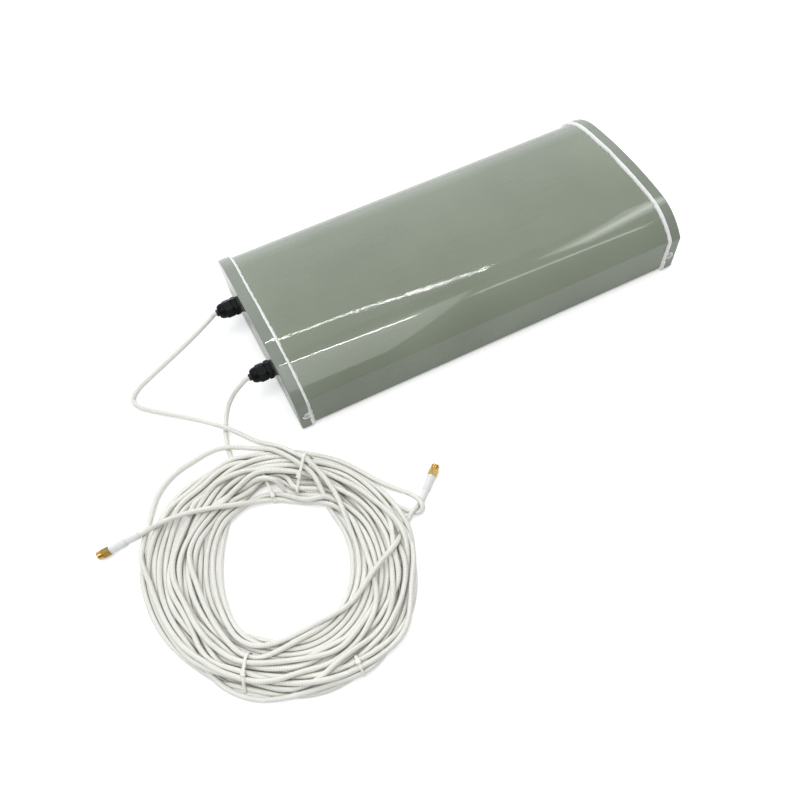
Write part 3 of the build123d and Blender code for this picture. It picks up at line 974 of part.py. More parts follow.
save(mounting_plate(), "mounting_plate")
save([mount_insert(x, y) for x, y in BACK_HOLES], "mount_inserts")
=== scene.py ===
import json
import math
import random

import bpy
import numpy as np
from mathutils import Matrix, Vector


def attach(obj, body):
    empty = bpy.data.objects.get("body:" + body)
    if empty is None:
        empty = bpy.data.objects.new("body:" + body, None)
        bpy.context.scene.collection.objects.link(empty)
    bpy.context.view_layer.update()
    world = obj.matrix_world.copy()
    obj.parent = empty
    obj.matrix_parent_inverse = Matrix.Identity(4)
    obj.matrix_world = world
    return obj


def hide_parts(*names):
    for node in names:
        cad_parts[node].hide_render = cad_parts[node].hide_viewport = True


with open("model.json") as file:
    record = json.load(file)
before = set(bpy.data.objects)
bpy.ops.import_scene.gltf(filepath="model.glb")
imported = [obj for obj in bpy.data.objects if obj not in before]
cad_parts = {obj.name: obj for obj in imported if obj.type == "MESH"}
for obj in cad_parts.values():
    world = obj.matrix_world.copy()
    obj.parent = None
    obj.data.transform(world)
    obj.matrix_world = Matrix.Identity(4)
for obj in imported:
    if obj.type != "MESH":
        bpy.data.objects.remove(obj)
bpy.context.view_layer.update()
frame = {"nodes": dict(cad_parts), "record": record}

rng = random.Random(7)
MM = 0.001

# ---------------------------------------------------------------- sizes (mm)
LENGTH, WIDTH, HEIGHT = 430.0, 210.0, 62.0
CROWN_R, CROWN_HALF_DEG, SHOULDER_R = 593.0, 6.0, 68.6
STEP_IN, CAP_SKIRT = 2.0, 12.0
ARRAY_Y, GLAND_Z, FEED_X, FEED_Z = 46.0, 30.0, -152.0, 41.2
S_END = 29.4
PATH_A = [
    (-241.5, 46, 30), (-249.006, 42.427, 29.337), (-266.978, 34.218, 26.804), (-285.621, 28.965, 22.231), (-304.403, 25.379, 16.618),
    (-323.216, 22.074, 10.855), (-341.991, 17.655, 5.824), (-348.975, 14.46, 4.275), (-353.108, 8.655, 3.225), (-351.577, 1.555, 2.83),
    (-343.76, -7.331, 2.764), (-329.133, -20.901, 2.995), (-314.988, -34.848, 4.721), (-301.222, -49.14, 6.825), (-287.7, -63.8, 8.147),
    (-274.701, -78.438, 7.395), (-264.826, -90.121, 3.176), (-258.347, -97.94, 2.551), (-249.985, -106.335, 3.249), (-241.681, -117.277, 7.202),
    (-232.291, -137.523, 15.575), (-227.747, -150.941, 26.747), (-220.691, -168.901, 19.607), (-217.172, -187.542, 15.358), (-217.011, -204.079, 14.276),
    (-219.132, -224.23, 7.444), (-220.793, -242.84, 2.899), (-226.471, -260.642, 2.59), (-236.724, -277.301, 2.55), (-250.633, -291.296, 2.551),
    (-264.127, -299.172, 2.547), (-275.206, -302.63, 2.45), (-286.904, -303.625, 2.45), (-302.423, -300.625, 2.47), (-316.072, -293.645, 2.45),
    (-330.887, -280.956, 2.45), (-345.347, -267.891, 2.45), (-349.462, -261.603, 2.45), (-353.554, -250.764, 2.45), (-355.307, -234.652, 2.541),
    (-352.658, -214.28, 2.55), (-346.492, -195.059, 2.55), (-337.465, -177.678, 2.694), (-329.821, -169.06, 3.837), (-316.737, -160.445, 8.182),
    (-305.954, -156.085, 7.236), (-289.476, -149.567, 2.455), (-280.797, -145.674, 3.15), (-275.945, -144.128, 3.425), (-263.855, -145.892, 3.394),
    (-239.512, -160.604, 3.416), (-223.966, -170.75, 4.261), (-211.821, -183.839, 2.591), (-202.204, -201.575, 2.626), (-195.724, -219.937, 2.45),
    (-194.71, -238.948, 2.484), (-196.799, -258.371, 2.504), (-200.733, -277.488, 2.45), (-206.946, -295.616, 2.45), (-218.021, -311.563, 2.597),
    (-231.736, -324.633, 2.463), (-241.821, -331.328, 2.773), (-256.728, -330.601, 3.384), (-275.971, -334.004, 3.289), (-294.298, -339.192, 2.458),
    (-306.386, -335.56, 2.547), (-323.707, -326.674, 2.841), (-340.707, -315.495, 3.35), (-355.177, -302.824, 3.415), (-366.982, -288.127, 2.993),
    (-376.764, -270.529, 2.513), (-383.942, -251.152, 2.45), (-386.081, -239.309, 2.45), (-382.68, -219.193, 2.45), (-377.087, -199.923, 2.45),
    (-369.127, -181.844, 2.45), (-359.171, -164.701, 2.45), (-348.38, -153.517, 2.45), (-330.814, -142.771, 2.591), (-315.218, -136.28, 2.779),
    (-295.32, -133.13, 7.507), (-288.144, -133.234, 7.164), (-278.062, -137.652, 2.494), (-266.58, -140.093, 4.986), (-248.593, -151.523, 8.432),
    (-247.752, -167.909, 13.061), (-233.85, -175.621, 11.64), (-216.028, -185.748, 5.294), (-209.86, -201.964, 2.821), (-205.051, -221.457, 2.478),
    (-205.134, -233.707, 2.45), (-209.064, -249.167, 2.45), (-218.181, -267.295, 2.45), (-228.818, -284.072, 2.551), (-242.508, -298.068, 2.564),
    (-255.621, -306.424, 2.578), (-270.163, -311.899, 2.571), (-285.444, -313.847, 2.678), (-301.457, -311.642, 2.959), (-315.949, -305.621, 3.336),
    (-331.463, -294.38, 3.584), (-344.45, -280.362, 3.287), (-354.235, -263.87, 2.536), (-360.212, -245.257, 2.454), (-362.095, -230.119, 2.564),
    (-360.405, -218.983, 2.571), (-354.132, -200.655, 2.45), (-346.687, -182.25, 2.839), (-339.058, -164.789, 2.494), (-331.215, -156.674, 3.199),
    (-314.699, -145.373, 2.528), (-304.689, -139.316, 3.833), (-293.419, -138.117, 8.186), (-280.709, -137.766, 9.373), (-272.065, -135.41, 8.076),
    (-263.723, -135.609, 5.648), (-256.616, -139.534, 3.246), (-239.631, -153.019, 3.407), (-223.567, -164.077, 3.462), (-209.928, -177.881, 2.564),
    (-199.257, -195.173, 2.504), (-191.847, -214.089, 2.543), (-189.342, -229.497, 2.45), (-190.387, -249.411, 2.45), (-193.544, -269.133, 2.464),
    (-198.346, -288.455, 2.507), (-205.025, -302.57, 3.017), (-217.939, -318.163, 5.119), (-233.858, -331.746, 5.556), (-252.311, -342.61, 4.484),
    (-271.9, -348.773, 3.235), (-293.717, -349.577, 2.956), (-310.522, -345.742, 2.465), (-327.248, -337.383, 2.858), (-347.515, -323.584, 7.546),
    (-360.018, -312.65, 7.649), (-372.226, -301.362, 2.935), (-380.54, -288.516, 2.455), (-390.884, -269.938, 2.73), (-398.714, -250.595, 2.65),
    (-403.34, -230.238, 2.549), (-404.646, -208.658, 2.547), (-402.858, -187.158, 2.561), (-399.881, -174.659, 2.45), (-390.902, -160.844, 2.631),
    (-378.117, -144.638, 2.9), (-364.696, -129.208, 3.868), (-351.38, -119.522, 2.64), (-331.916, -111.46, 2.736), (-315.463, -108.614, 2.685),
    (-295.592, -110.228, 6.94), (-283.757, -111.346, 7.601), (-263.222, -113.138, 3.377), (-247.298, -117.293, 2.499), (-229.595, -127.461, 2.645),
    (-213.383, -140.476, 2.626), (-198.701, -155.246, 2.549), (-187.365, -172.163, 2.55), (-177.752, -189.632, 2.551), (-166.287, -206.925, 3.594),
    (-154.882, -225.281, 9.26), (-152.157, -232.152, 10.733), (-151.452, -237.765, 9.872), (-152.652, -241.311, 7.395), (-155.27, -242.208, 4.805),
    (-158.886, -240.336, 3.097), (-165.561, -233.313, 2.608), (-177.078, -215.794, 2.45), (-186.735, -197.353, 2.475), (-195.375, -179.535, 2.788),
    (-203.097, -165.855, 4.941), (-217.312, -151.673, 8.456), (-232.428, -137.364, 8.174), (-245.745, -128.008, 8.085), (-257.149, -123.68, 9.981),
    (-278.116, -122.432, 14.027), (-291.031, -122.261, 12.877), (-310.646, -122.677, 5.828), (-321.733, -124.758, 2.94), (-332.725, -128.09, 2.776),
    (-349.683, -138.304, 6.138), (-361.05, -148.825, 3.53), (-371.876, -165.368, 3.373), (-381.016, -183.268, 2.501), (-385.158, -198.117, 2.745),
    (-385.874, -213.978, 5.382), (-385.161, -226.044, 8.168), (-381.712, -242.206, 5.629), (-375.308, -261.215, 3.132), (-366.708, -278.762, 3.49),
    (-354.943, -294.646, 9.286), (-345.264, -302.624, 10.261), (-328.115, -313.803, 8.99), (-309.403, -321.51, 7.582), (-293.91, -322.309, 5.026),
    (-278.979, -319.144, 3.693), (-260.561, -314.179, 2.67), (-243.878, -305.783, 2.45), (-229.389, -292.623, 2.51), (-219.809, -280.392, 2.888),
    (-213.166, -266.389, 5.794), (-210.726, -254.542, 7.862), (-209.493, -238.112, 6.195), (-210.709, -218.516, 2.779), (-214.694, -203.88, 2.739),
    (-222.379, -187.942, 6.45), (-241.313, -177.03, 7.803), (-254.841, -162.406, 3.283), (-261.198, -153.321, 18.706), (-271.732, -145.938, 17.012),
    (-290.734, -143.454, 8.419), (-310.289, -144.423, 7.674), (-325.1, -149.414, 8.004), (-342.194, -159.848, 7.875), (-357.688, -173.659, 7.999),
    (-367.066, -186.961, 7.351), (-373.94, -205.734, 3.909), (-377.998, -225.109, 2.683), (-376.705, -240.186, 2.625), (-371.372, -259.173, 5.955),
    (-368.222, -279.693, 8.991), (-366.31, -287.642, 8.127), (-362.352, -294.471, 8.409), (-350.183, -305.025, 8.531), (-333.942, -316.91, 8.031),
    (-317.473, -326.964, 7.786), (-300.094, -334.745, 8.241), (-281.825, -339.558, 9.302), (-262.503, -340.945, 10.244), (-240.513, -338.752, 9.839),
    (-223.924, -333.107, 6.569), (-213.194, -326.901, 3.988), (-201.446, -315.242, 2.562), (-190.22, -297.544, 2.715), (-182.414, -278.174, 2.506),
    (-174.422, -259.478, 3.856), (-172.312, -248.149, 7.714), (-173.118, -235.43, 9.966), (-175.818, -213.179, 6.923), (-182.469, -193.722, 3.397),
    (-191.363, -175.578, 2.532), (-202.596, -158.603, 2.976), (-217.082, -144.083, 3.436), (-232.795, -131.363, 3.595), (-249.657, -120.986, 5.243),
    (-269.649, -114.784, 9.877), (-282.363, -112.26, 12.644), (-290.99, -111.497, 12.872), (-307.49, -112.531, 8.871), (-326.702, -115.408, 3.174),
    (-341.305, -120.232, 2.866), (-358.557, -129.364, 6.947), (-370.267, -140.596, 7.065), (-383.631, -157.239, 7.224), (-393.708, -174.485, 3.828),
    (-397.883, -189.434, 2.594), (-399.564, -209.432, 2.638), (-398.379, -229.354, 3.461), (-394.633, -248.828, 5.236), (-388.315, -268.526, 8.326),
    (-380.324, -283.257, 12.588), (-372.741, -292.681, 11.895), (-359.279, -304.8, 8.693), (-345.104, -317.809, 8.791), (-328.784, -332.246, 7.71),
    (-321.277, -336.234, 7.354), (-309.315, -339.024, 8.39), (-293.401, -339.355, 13.165), (-281.328, -335.928, 15.35), (-261.557, -330.938, 12.129),
    (-243.206, -326.847, 7.399), (-229.985, -320.601, 8.087), (-221.121, -313.729, 10.453), (-213.748, -304.871, 13.547), (-208.645, -293.289, 13.996),
    (-200.716, -274.088, 9.592), (-194.602, -255.81, 7.452), (-193.974, -236.288, 7.731), (-197.171, -216.42, 9.138), (-203.577, -202.074, 12.793),
    (-214.098, -185.581, 11.419), (-224.275, -168.89, 11.08), (-232.051, -159.625, 12.858), (-241.62, -152.103, 13.109), (-260.413, -143.574, 17.646),
    (-272.756, -139.629, 18.523), (-288.687, -142.299, 15.427), (-307.709, -147.755, 11.108), (-325.381, -155.391, 8.197), (-342.193, -166.331, 8.409),
    (-350.786, -174.628, 8.266), (-355.354, -181.114, 9.317), (-358.1, -192.682, 9.641), (-359.51, -213.455, 8.232), (-359.843, -233.031, 7.614),
    (-358.008, -252.51, 7.918), (-352.84, -275.965, 9.214), (-349.468, -285.287, 9.867), (-345.012, -292.997, 10.174), (-339.579, -298.306, 10.04),
    (-332.843, -300.966, 9.399), (-316.903, -301.44, 8.214), (-295.908, -300.051, 7.265), (-276.568, -297.854, 3.718), (-266.106, -294.488, 2.56),
    (-253.184, -286.847, 2.662), (-242.185, -275.925, 2.551), (-232.044, -258.895, 2.55), (-226.082, -239.682, 2.599), (-224.646, -220.22, 2.679),
    (-226.96, -201.645, 5.218), (-226.262, -181.737, 14.02), (-227.875, -163.495, 20.856), (-232.968, -151.246, 18.408), (-241.645, -132.339, 14.7),
    (-252.281, -114.957, 8.743), (-260.809, -107.156, 5.05), (-270.25, -100.758, 4.408), (-287.549, -92.439, 7.539), (-302.921, -88.208, 5.803),
    (-318.87, -87.88, 2.92), (-338.302, -91.214, 2.55), (-352.27, -97.688, 2.55), (-364.236, -107.693, 2.749), (-375.555, -124.351, 2.451),
    (-392.941, -155.267, 4.782), (-395.836, -166.456, 9.004), (-395.864, -187.899, 8.01), (-396.171, -208.046, 7.574), (-395.394, -227.487, 7.945),
    (-392.319, -246.53, 9.425), (-385.875, -265.464, 12.144), (-375.351, -283.69, 16.069), (-367.241, -296.509, 16.218), (-355.161, -308.891, 14.05),
    (-339.512, -321.586, 15.546), (-327.388, -325.626, 14.961), (-306.387, -328.244, 11.634), (-287.584, -331.063, 8.443), (-272.498, -329.945, 8.095),
    (-257.47, -325.206, 8.763), (-243.55, -317.145, 9.508), (-231.795, -306.113, 9.135), (-225.599, -295.97, 8.229), (-220.071, -276.927, 8.131),
    (-216.781, -257.088, 8.035), (-214.367, -236.81, 7.959), (-214.003, -217.066, 7.04), (-215.984, -210.139, 7.176), (-221.98, -201.534, 9.821),
    (-227.409, -196.915, 12.721), (-232.135, -192.577, 11.289), (-244.051, -181.207, 3.076), (-254.009, -174.284, 2.537), (-267.392, -165.504, 4.297),
    (-280.656, -161.313, 5.499), (-298.162, -159.138, 12.369), (-319.817, -152.548, 14.138), (-342.194, -146.312, 14.187), (-361.588, -145.285, 15.903),
]
PATH_B = [
    (-241.5, -46, 30), (-249.993, -46.741, 26.249), (-263.136, -48.41, 16.948), (-268.835, -50.895, 11.822), (-273.971, -55.195, 7.493),
    (-278.186, -61.314, 4.327), (-282.872, -72.283, 2.795), (-287.379, -90.881, 2.469), (-288.897, -110.706, 2.45), (-291.983, -130.891, 2.45),
    (-296.245, -142.028, 2.45), (-309.008, -157.127, 2.45), (-320.543, -173.43, 2.45), (-330.394, -190.715, 2.457), (-337.987, -208.485, 2.485),
    (-343.132, -226.913, 2.55), (-344.874, -243.911, 2.664), (-345.274, -254.928, 2.8), (-344.581, -259.216, 3.937), (-341.755, -269.247, 7.446),
    (-339.744, -275.118, 7.516), (-334.165, -284.141, 5.273), (-325.915, -292.502, 2.992), (-316.088, -299.751, 2.529), (-301.28, -306.365, 2.546),
    (-285.433, -308.743, 2.557), (-273.832, -307.532, 2.558), (-259.45, -302.637, 2.546), (-246.561, -294.584, 2.548), (-233.073, -280.994, 2.551),
    (-222.67, -264.581, 2.551), (-215.841, -246.997, 2.55), (-214.679, -232.183, 2.47), (-217.328, -213.14, 2.46), (-223.793, -196.117, 2.742),
    (-235.302, -182.905, 3.031), (-245.291, -166.094, 2.921), (-252.468, -156.526, 6.268), (-266.606, -144.03, 11.192), (-286.848, -149.419, 7.574),
    (-300.506, -149.349, 8.094), (-311.879, -151.594, 5.298), (-318.56, -154.326, 3.747), (-327.733, -160.834, 3.816), (-342.711, -173.84, 7.971),
    (-350.307, -182.656, 6.945), (-359.296, -199.594, 2.925), (-365.365, -217.863, 2.462), (-367.809, -237.273, 2.518), (-366.039, -256.861, 2.456),
    (-360.681, -276.927, 2.511), (-353.031, -296.684, 3.158), (-345.44, -305.046, 3.645), (-329.153, -316.337, 2.975), (-311.946, -327.384, 2.45),
    (-300.633, -331.868, 2.584), (-289.273, -331.516, 3.079), (-268.887, -327.186, 2.566), (-248.744, -324.222, 2.45), (-238.083, -322.387, 2.45),
    (-229.07, -315.677, 2.525), (-216.285, -301.066, 4.372), (-202.246, -285.767, 8.005), (-193.246, -276.812, 7.237), (-189.339, -270.092, 5.361),
    (-186.494, -258.58, 3.119), (-184.199, -237.904, 2.49), (-185.141, -217.342, 2.513), (-192.044, -198.503, 2.532), (-200.969, -180.159, 2.467),
    (-211.245, -162.395, 3.016), (-223.771, -146.918, 3.443), (-238.85, -133.401, 2.861), (-253.503, -123.874, 2.641), (-265.688, -118.323, 2.66),
    (-281.508, -116.652, 6.132), (-293.007, -117.465, 7.808), (-313.661, -118.05, 3.189), (-329.882, -121.691, 2.563), (-349.614, -129.373, 2.45),
    (-363.68, -137.129, 2.45), (-371.603, -145.499, 2.474), (-382.744, -163.01, 3.457), (-390.213, -182.162, 3.435), (-393.775, -201.502, 3.02),
    (-394.025, -221.467, 2.634), (-391.502, -241.301, 2.45), (-386.491, -260.431, 2.475), (-378.802, -279.262, 2.697), (-369.01, -296.071, 3.085),
    (-356.767, -310.801, 3.418), (-341.721, -323.034, 3.348), (-322.154, -333.454, 2.45), (-307.409, -341.24, 2.655), (-291.973, -344.35, 2.653),
    (-272.833, -339.203, 4.716), (-253.258, -335.215, 7.655), (-234.284, -329.357, 10.176), (-220.126, -319.602, 10.516), (-205.448, -305.27, 8.586),
    (-195.993, -291.732, 9.035), (-190.647, -280.63, 11.807), (-188.802, -269.256, 10.48), (-188.479, -249.492, 7.459), (-189.484, -229.087, 8.201),
    (-193.175, -209.409, 7.73), (-199.492, -190.441, 7.186), (-209.469, -172.495, 6.08), (-222.76, -156.996, 3.93), (-239.019, -145.935, 3.088),
    (-255.345, -134.465, 2.45), (-266.279, -129.437, 2.904), (-287.561, -128.077, 7.249), (-296.193, -127.887, 9.017), (-307.901, -131.245, 9.271),
    (-325.987, -142.866, 7.577), (-342.804, -154.511, 5.538), (-355.738, -168.757, 3.001), (-363.051, -182.218, 2.565), (-367.899, -201.346, 2.45),
    (-371.918, -220.821, 2.839), (-372.88, -236.341, 5.116), (-368.841, -251.493, 7.406), (-360.641, -271.622, 7.504), (-350.997, -291.59, 7.221),
    (-343.115, -300.23, 3.747), (-328.651, -310.762, 4.312), (-312.102, -320.744, 2.534), (-301.273, -326.456, 2.45), (-289.923, -326.462, 2.45),
    (-270.162, -322.281, 2.489), (-250.968, -319.471, 2.971), (-237.1, -317.323, 5.928), (-219.881, -306.324, 9.009), (-209.477, -299.621, 8.694),
    (-203.984, -294.044, 10.47), (-199.816, -287.409, 12.653), (-195.511, -271.261, 12.274), (-188.66, -250.99, 12.744), (-184.573, -239.999, 10.948),
    (-184.381, -228.448, 8.667), (-188.168, -208.457, 7.795), (-194.233, -188.941, 7.38), (-201.62, -174.614, 7.791), (-215.937, -159.888, 9.272),
    (-231.781, -146.895, 7.636), (-246.107, -134.27, 4.181), (-255.884, -128.369, 2.869), (-266.218, -123.176, 4.95), (-280.931, -117.955, 11.452),
    (-289.176, -116.705, 12.928), (-301.874, -116.971, 11.973), (-322.227, -121.893, 7.505), (-341.865, -128.162, 7.614), (-349.129, -131.855, 8.172),
    (-358.656, -139.181, 4.607), (-366.753, -147.6, 2.763), (-377.283, -163.535, 3.865), (-384.775, -180.804, 5.066), (-389.476, -199.937, 6.181),
    (-390.816, -219.152, 6.964), (-388.912, -238.56, 7.425), (-384.895, -257.86, 7.685), (-379.85, -277.197, 7.776), (-374.684, -297.242, 7.547),
    (-369.549, -309.037, 8.881), (-361.621, -319.694, 7.302), (-348.119, -331.374, 6.786), (-328.44, -339.797, 7.206), (-308.231, -344.737, 7.859),
    (-286.87, -348.093, 8.313), (-269.208, -350.691, 8.067), (-256.431, -349.74, 5.615), (-244.83, -345.072, 3.082), (-227.939, -332.342, 2.458),
    (-211.846, -318.836, 2.562), (-199.263, -303.275, 2.539), (-190.402, -285.021, 3.967), (-182.241, -266.393, 10.836), (-179.597, -258.384, 13.661),
    (-179.622, -249.398, 14.826), (-183.019, -231.896, 14.637), (-189.704, -212.002, 12.546), (-197.565, -193.834, 12.442), (-208.398, -176.84, 11.697),
    (-221.439, -161.143, 12.999), (-236.267, -146.441, 12.367), (-253.079, -135.785, 9.171), (-260.857, -132.772, 9.757), (-273.147, -130.823, 10.795),
    (-290.225, -134.574, 12.741), (-302.405, -136.647, 10.805), (-320.61, -143.33, 4.079), (-333.577, -151.844, 2.641), (-347.209, -165.872, 2.717),
    (-357.384, -182.475, 4.509), (-363.731, -201.194, 6.582), (-366.142, -221.347, 7.574), (-364.856, -241.824, 6.73), (-360.059, -261.87, 4.703),
    (-350.925, -283.34, 3.488), (-343.048, -293.217, 4.064), (-332.797, -301.859, 3.363), (-318.509, -310.658, 2.623), (-304.593, -316.063, 3.672),
    (-284.189, -317.609, 8.323), (-267.261, -317.933, 8.244), (-251.904, -315.093, 5.488), (-236.618, -310.052, 2.617), (-226.457, -304.219, 2.487),
    (-214.979, -291.507, 2.45), (-206.433, -277.002, 2.476), (-201.77, -257.075, 2.508), (-199.745, -237.218, 2.791), (-200.886, -218.016, 5.313),
    (-205.47, -198.312, 7.518), (-212.135, -179.221, 7.521), (-220.892, -165.815, 8.561), (-232.712, -155.133, 8.63), (-249.405, -143.4, 9.594),
    (-263.919, -136.595, 12.47), (-283.746, -131.582, 17.369), (-297.211, -130.026, 16.156), (-311.459, -129.428, 13.83), (-326.394, -135.745, 7.108),
    (-337.168, -140.376, 3.188), (-351.081, -148.54, 2.547), (-362.607, -160.555, 2.536), (-373.097, -178.573, 3.238), (-380.77, -197.404, 5.941),
    (-381.708, -208.877, 7.737), (-379.175, -229.334, 8.226), (-376.595, -249.559, 8.665), (-376.1, -269.678, 9.277), (-374.315, -277.358, 10.132),
    (-371.339, -284.485, 11.841), (-363.463, -293.804, 13.521), (-347.703, -308.729, 14.365), (-333.736, -322.366, 10.45), (-328.099, -326.736, 8.956),
    (-318.871, -332.582, 10.74), (-300.786, -342.065, 15.909), (-288.063, -345.479, 14.998), (-266.342, -346.833, 11.013), (-245.688, -344.713, 8.344),
    (-229.196, -340.789, 7.725), (-221.439, -337.368, 8.158), (-214.815, -332.217, 8.557), (-204.871, -318.172, 8.085), (-194.315, -299.807, 7.364),
    (-183.463, -282.051, 7.837), (-178.29, -270.67, 7.706), (-177.098, -258.592, 8.931), (-178.739, -238.53, 7.534), (-180.592, -219.241, 6.595),
    (-185.25, -199.515, 7.951), (-192.419, -179.861, 7.33), (-199.055, -169.537, 9.145), (-211.661, -158.447, 12.514), (-228.883, -145.614, 12.893),
    (-245.029, -134.111, 9.38), (-255.674, -129.285, 8.374), (-276.601, -124.733, 9.188), (-289.177, -122.66, 7.831), (-304.662, -125.777, 3.945),
    (-316.442, -129.188, 3.68), (-328.169, -131.059, 5.69), (-334.654, -134.194, 7.302), (-343.898, -147.476, 7.98), (-358.173, -163.886, 7.522),
    (-370.681, -180.666, 8.057), (-375.01, -191.887, 8.027), (-376.6, -203.717, 8.275), (-374.632, -223.737, 8.727), (-372.528, -243.836, 11.322),
    (-368.511, -263.83, 13.311), (-361.223, -280.13, 11.583), (-354.226, -291.79, 13.803), (-348.389, -298.223, 15.083), (-341.719, -302.946, 15.373),
    (-328.032, -308.772, 11.879), (-314.822, -313.121, 8.499), (-296.657, -320.012, 10.023), (-276.182, -324.628, 10.884), (-267.813, -323.597, 10.527),
    (-259.881, -320.859, 12.547), (-245.909, -312.277, 9.271), (-229.78, -300.145, 3.8), (-219.107, -288.548, 2.565), (-211.275, -274.837, 2.731),
    (-206.139, -255.129, 5.205), (-204.189, -234.418, 7.721), (-207.21, -217.778, 7.505), (-211.982, -206.502, 7.52), (-221.371, -194.733, 11.723),
    (-227.057, -190.103, 15.948), (-237.044, -188.167, 14.628), (-251.045, -174.21, 7.608), (-257.951, -165.841, 5.649), (-267.014, -159.576, 4.065),
    (-280.651, -155.915, 3.634), (-291.965, -156.922, 3.464), (-306.55, -161.576, 6.132), (-316.961, -166.947, 7.747), (-326.23, -174.433, 5.891),
    (-336.013, -187.08, 3.113), (-343.861, -205.441, 2.45), (-348.362, -224.494, 2.879), (-349.645, -243.838, 4.634), (-348.047, -264.309, 8.012),
    (-346.323, -272.434, 8.328), (-342.992, -279.782, 8.577), (-338.081, -285.907, 8.727), (-331.611, -290.366, 8.748), (-319.965, -294.01, 8.244),
    (-299.885, -294.881, 6.236), (-280.26, -293.999, 6.923), (-260.792, -294.142, 8.325), (-249.896, -292.482, 7.652), (-236.478, -286.227, 8.833),
    (-217.565, -276.437, 14.189), (-203.924, -270.723, 17.154), (-194.168, -267.013, 19.093), (-187.864, -261.862, 15.454), (-177.381, -248.52, 3.233),
    (-168.406, -241.725, 4.502), (-162.058, -238.093, 7.732),
]
PLUG = {
    "a": ((-385.792, -141.657, 7.7), (-0.996931, -0.016085, -0.076620)),
    "b": ((-154.24, -235.157, 4.15), (0.734149, 0.678989, 0.000000)),
}


# ------------------------------------------------------------------ materials
class Nodes:
    """Small helper to wire a procedural material."""

    def __init__(self, name):
        self.mat = bpy.data.materials.new(name)
        self.mat.use_nodes = True
        self.nt = self.mat.node_tree
        self.nt.nodes.clear()
        self.out = self.nt.nodes.new("ShaderNodeOutputMaterial")
        self.bsdf = self.nt.nodes.new("ShaderNodeBsdfPrincipled")
        self.nt.links.new(self.bsdf.outputs[0], self.out.inputs[0])
        self.geo = self.nt.nodes.new("ShaderNodeTexCoord")

    def new(self, kind, **kw):
        n = self.nt.nodes.new(kind)
        for k, v in kw.items():
            setattr(n, k, v)
        return n

    def link(self, a, b):
        self.nt.links.new(a, b)

    def coords(self, scale=(1, 1, 1)):
        m = self.new("ShaderNodeMapping")
        m.inputs["Scale"].default_value = scale
        self.link(self.geo.outputs["Object"], m.inputs["Vector"])
        return m.outputs[0]

    def noise(self, scale, detail=3.0, rough=0.5, at=None):
        n = self.new("ShaderNodeTexNoise")
        n.inputs["Scale"].default_value = scale
        n.inputs["Detail"].default_value = detail
        n.inputs["Roughness"].default_value = rough
        self.link(at if at is not None else self.coords(), n.inputs["Vector"])
        return n.outputs["Fac"]

    def ramp(self, fac, stops):
        r = self.new("ShaderNodeValToRGB")
        el = r.color_ramp.elements
        while len(el) < len(stops):
            el.new(0.5)
        for e, (p, c) in zip(el, stops):
            e.position = p
            e.color = (c, c, c, 1) if isinstance(c, (int, float)) else (*c, 1)
        self.link(fac, r.inputs[0])
        return r.outputs[0]

    def math(self, op, a, b=None):
        n = self.new("ShaderNodeMath", operation=op)
        for i, x in enumerate((a, b)):
            if x is None:
                continue
            if isinstance(x, (int, float)):
                n.inputs[i].default_value = x
            else:
                self.link(x, n.inputs[i])
        return n.outputs[0]

    def mix(self, fac, a, b):
        n = self.new("ShaderNodeMix", data_type="RGBA")
        if isinstance(fac, (int, float)):
            n.inputs[0].default_value = fac
        else:
            self.link(fac, n.inputs[0])
        for i, x in ((6, a), (7, b)):
            if isinstance(x, tuple):
                n.inputs[i].default_value = (*x, 1)
            else:
                self.link(x, n.inputs[i])
        return n.outputs[2]

    def bump(self, height, dist, strength=1.0, normal=None):
        b = self.new("ShaderNodeBump")
        b.inputs["Strength"].default_value = strength
        b.inputs["Distance"].default_value = dist
        self.link(height, b.inputs["Height"])
        if normal is not None:
            self.link(normal, b.inputs["Normal"])
        self.link(b.outputs[0], self.bsdf.inputs["Normal"])
        return b.outputs[0]

    def set(self, **kw):
        names = {
            "base": "Base Color", "rough": "Roughness", "metal": "Metallic", "coat": "Coat Weight",
            "coat_rough": "Coat Roughness", "sss": "Subsurface Weight", "spec": "Specular IOR Level",
            "trans": "Transmission Weight", "sheen": "Sheen Weight",
        }
        for k, v in kw.items():
            i = self.bsdf.inputs[names[k]]
            if isinstance(v, (int, float)):
                i.default_value = v
            elif isinstance(v, tuple):
                i.default_value = (*v, 1)
            else:
                self.link(v, i)


def gloss_shell(name, base, wobble=1.0):
    """Glossy moulded skin: faint mottling, fine dust specks, long slow waves that bend reflections."""
    m = Nodes(name)
    slow = m.noise(9.0, 2.0)
    fine = m.noise(900.0, 2.0)
    dark = tuple(c * 0.90 for c in base)
    pale = tuple(min(1, c * 1.07) for c in base)
    c = m.mix(m.ramp(slow, [(0.3, 0.0), (0.7, 1.0)]), dark, pale)
    speck = m.ramp(m.noise(420.0, 1.0), [(0.70, 0.0), (0.76, 1.0)])
    c = m.mix(m.math("MULTIPLY", speck, 0.10), c, tuple(min(1, x * 1.35) for x in base))
    smear = m.noise(14.0, 4.0, 0.6, m.coords((0.5, 2.0, 1.0)))
    rough = m.math("ADD", m.math("MULTIPLY", m.ramp(smear, [(0.35, 0.0), (0.75, 1.0)]), 0.04), m.math("MULTIPLY", fine, 0.05))
    m.set(base=c, rough=m.math("ADD", rough, 0.24), spec=0.22, coat=0.85, coat_rough=0.025)
    w1 = m.noise(300.0, 2.0, 0.5, m.coords((1.0, 0.7, 0.7)))
    w2 = m.noise(22.0, 1.0, 0.4)
    h = m.math("ADD", m.math("MULTIPLY", w1, 0.03 * wobble), m.math("MULTIPLY", w2, 0.06 * wobble))
    b = m.bump(h, 0.0008)
    m.link(b, m.bsdf.inputs["Coat Normal"])
    return m.mat


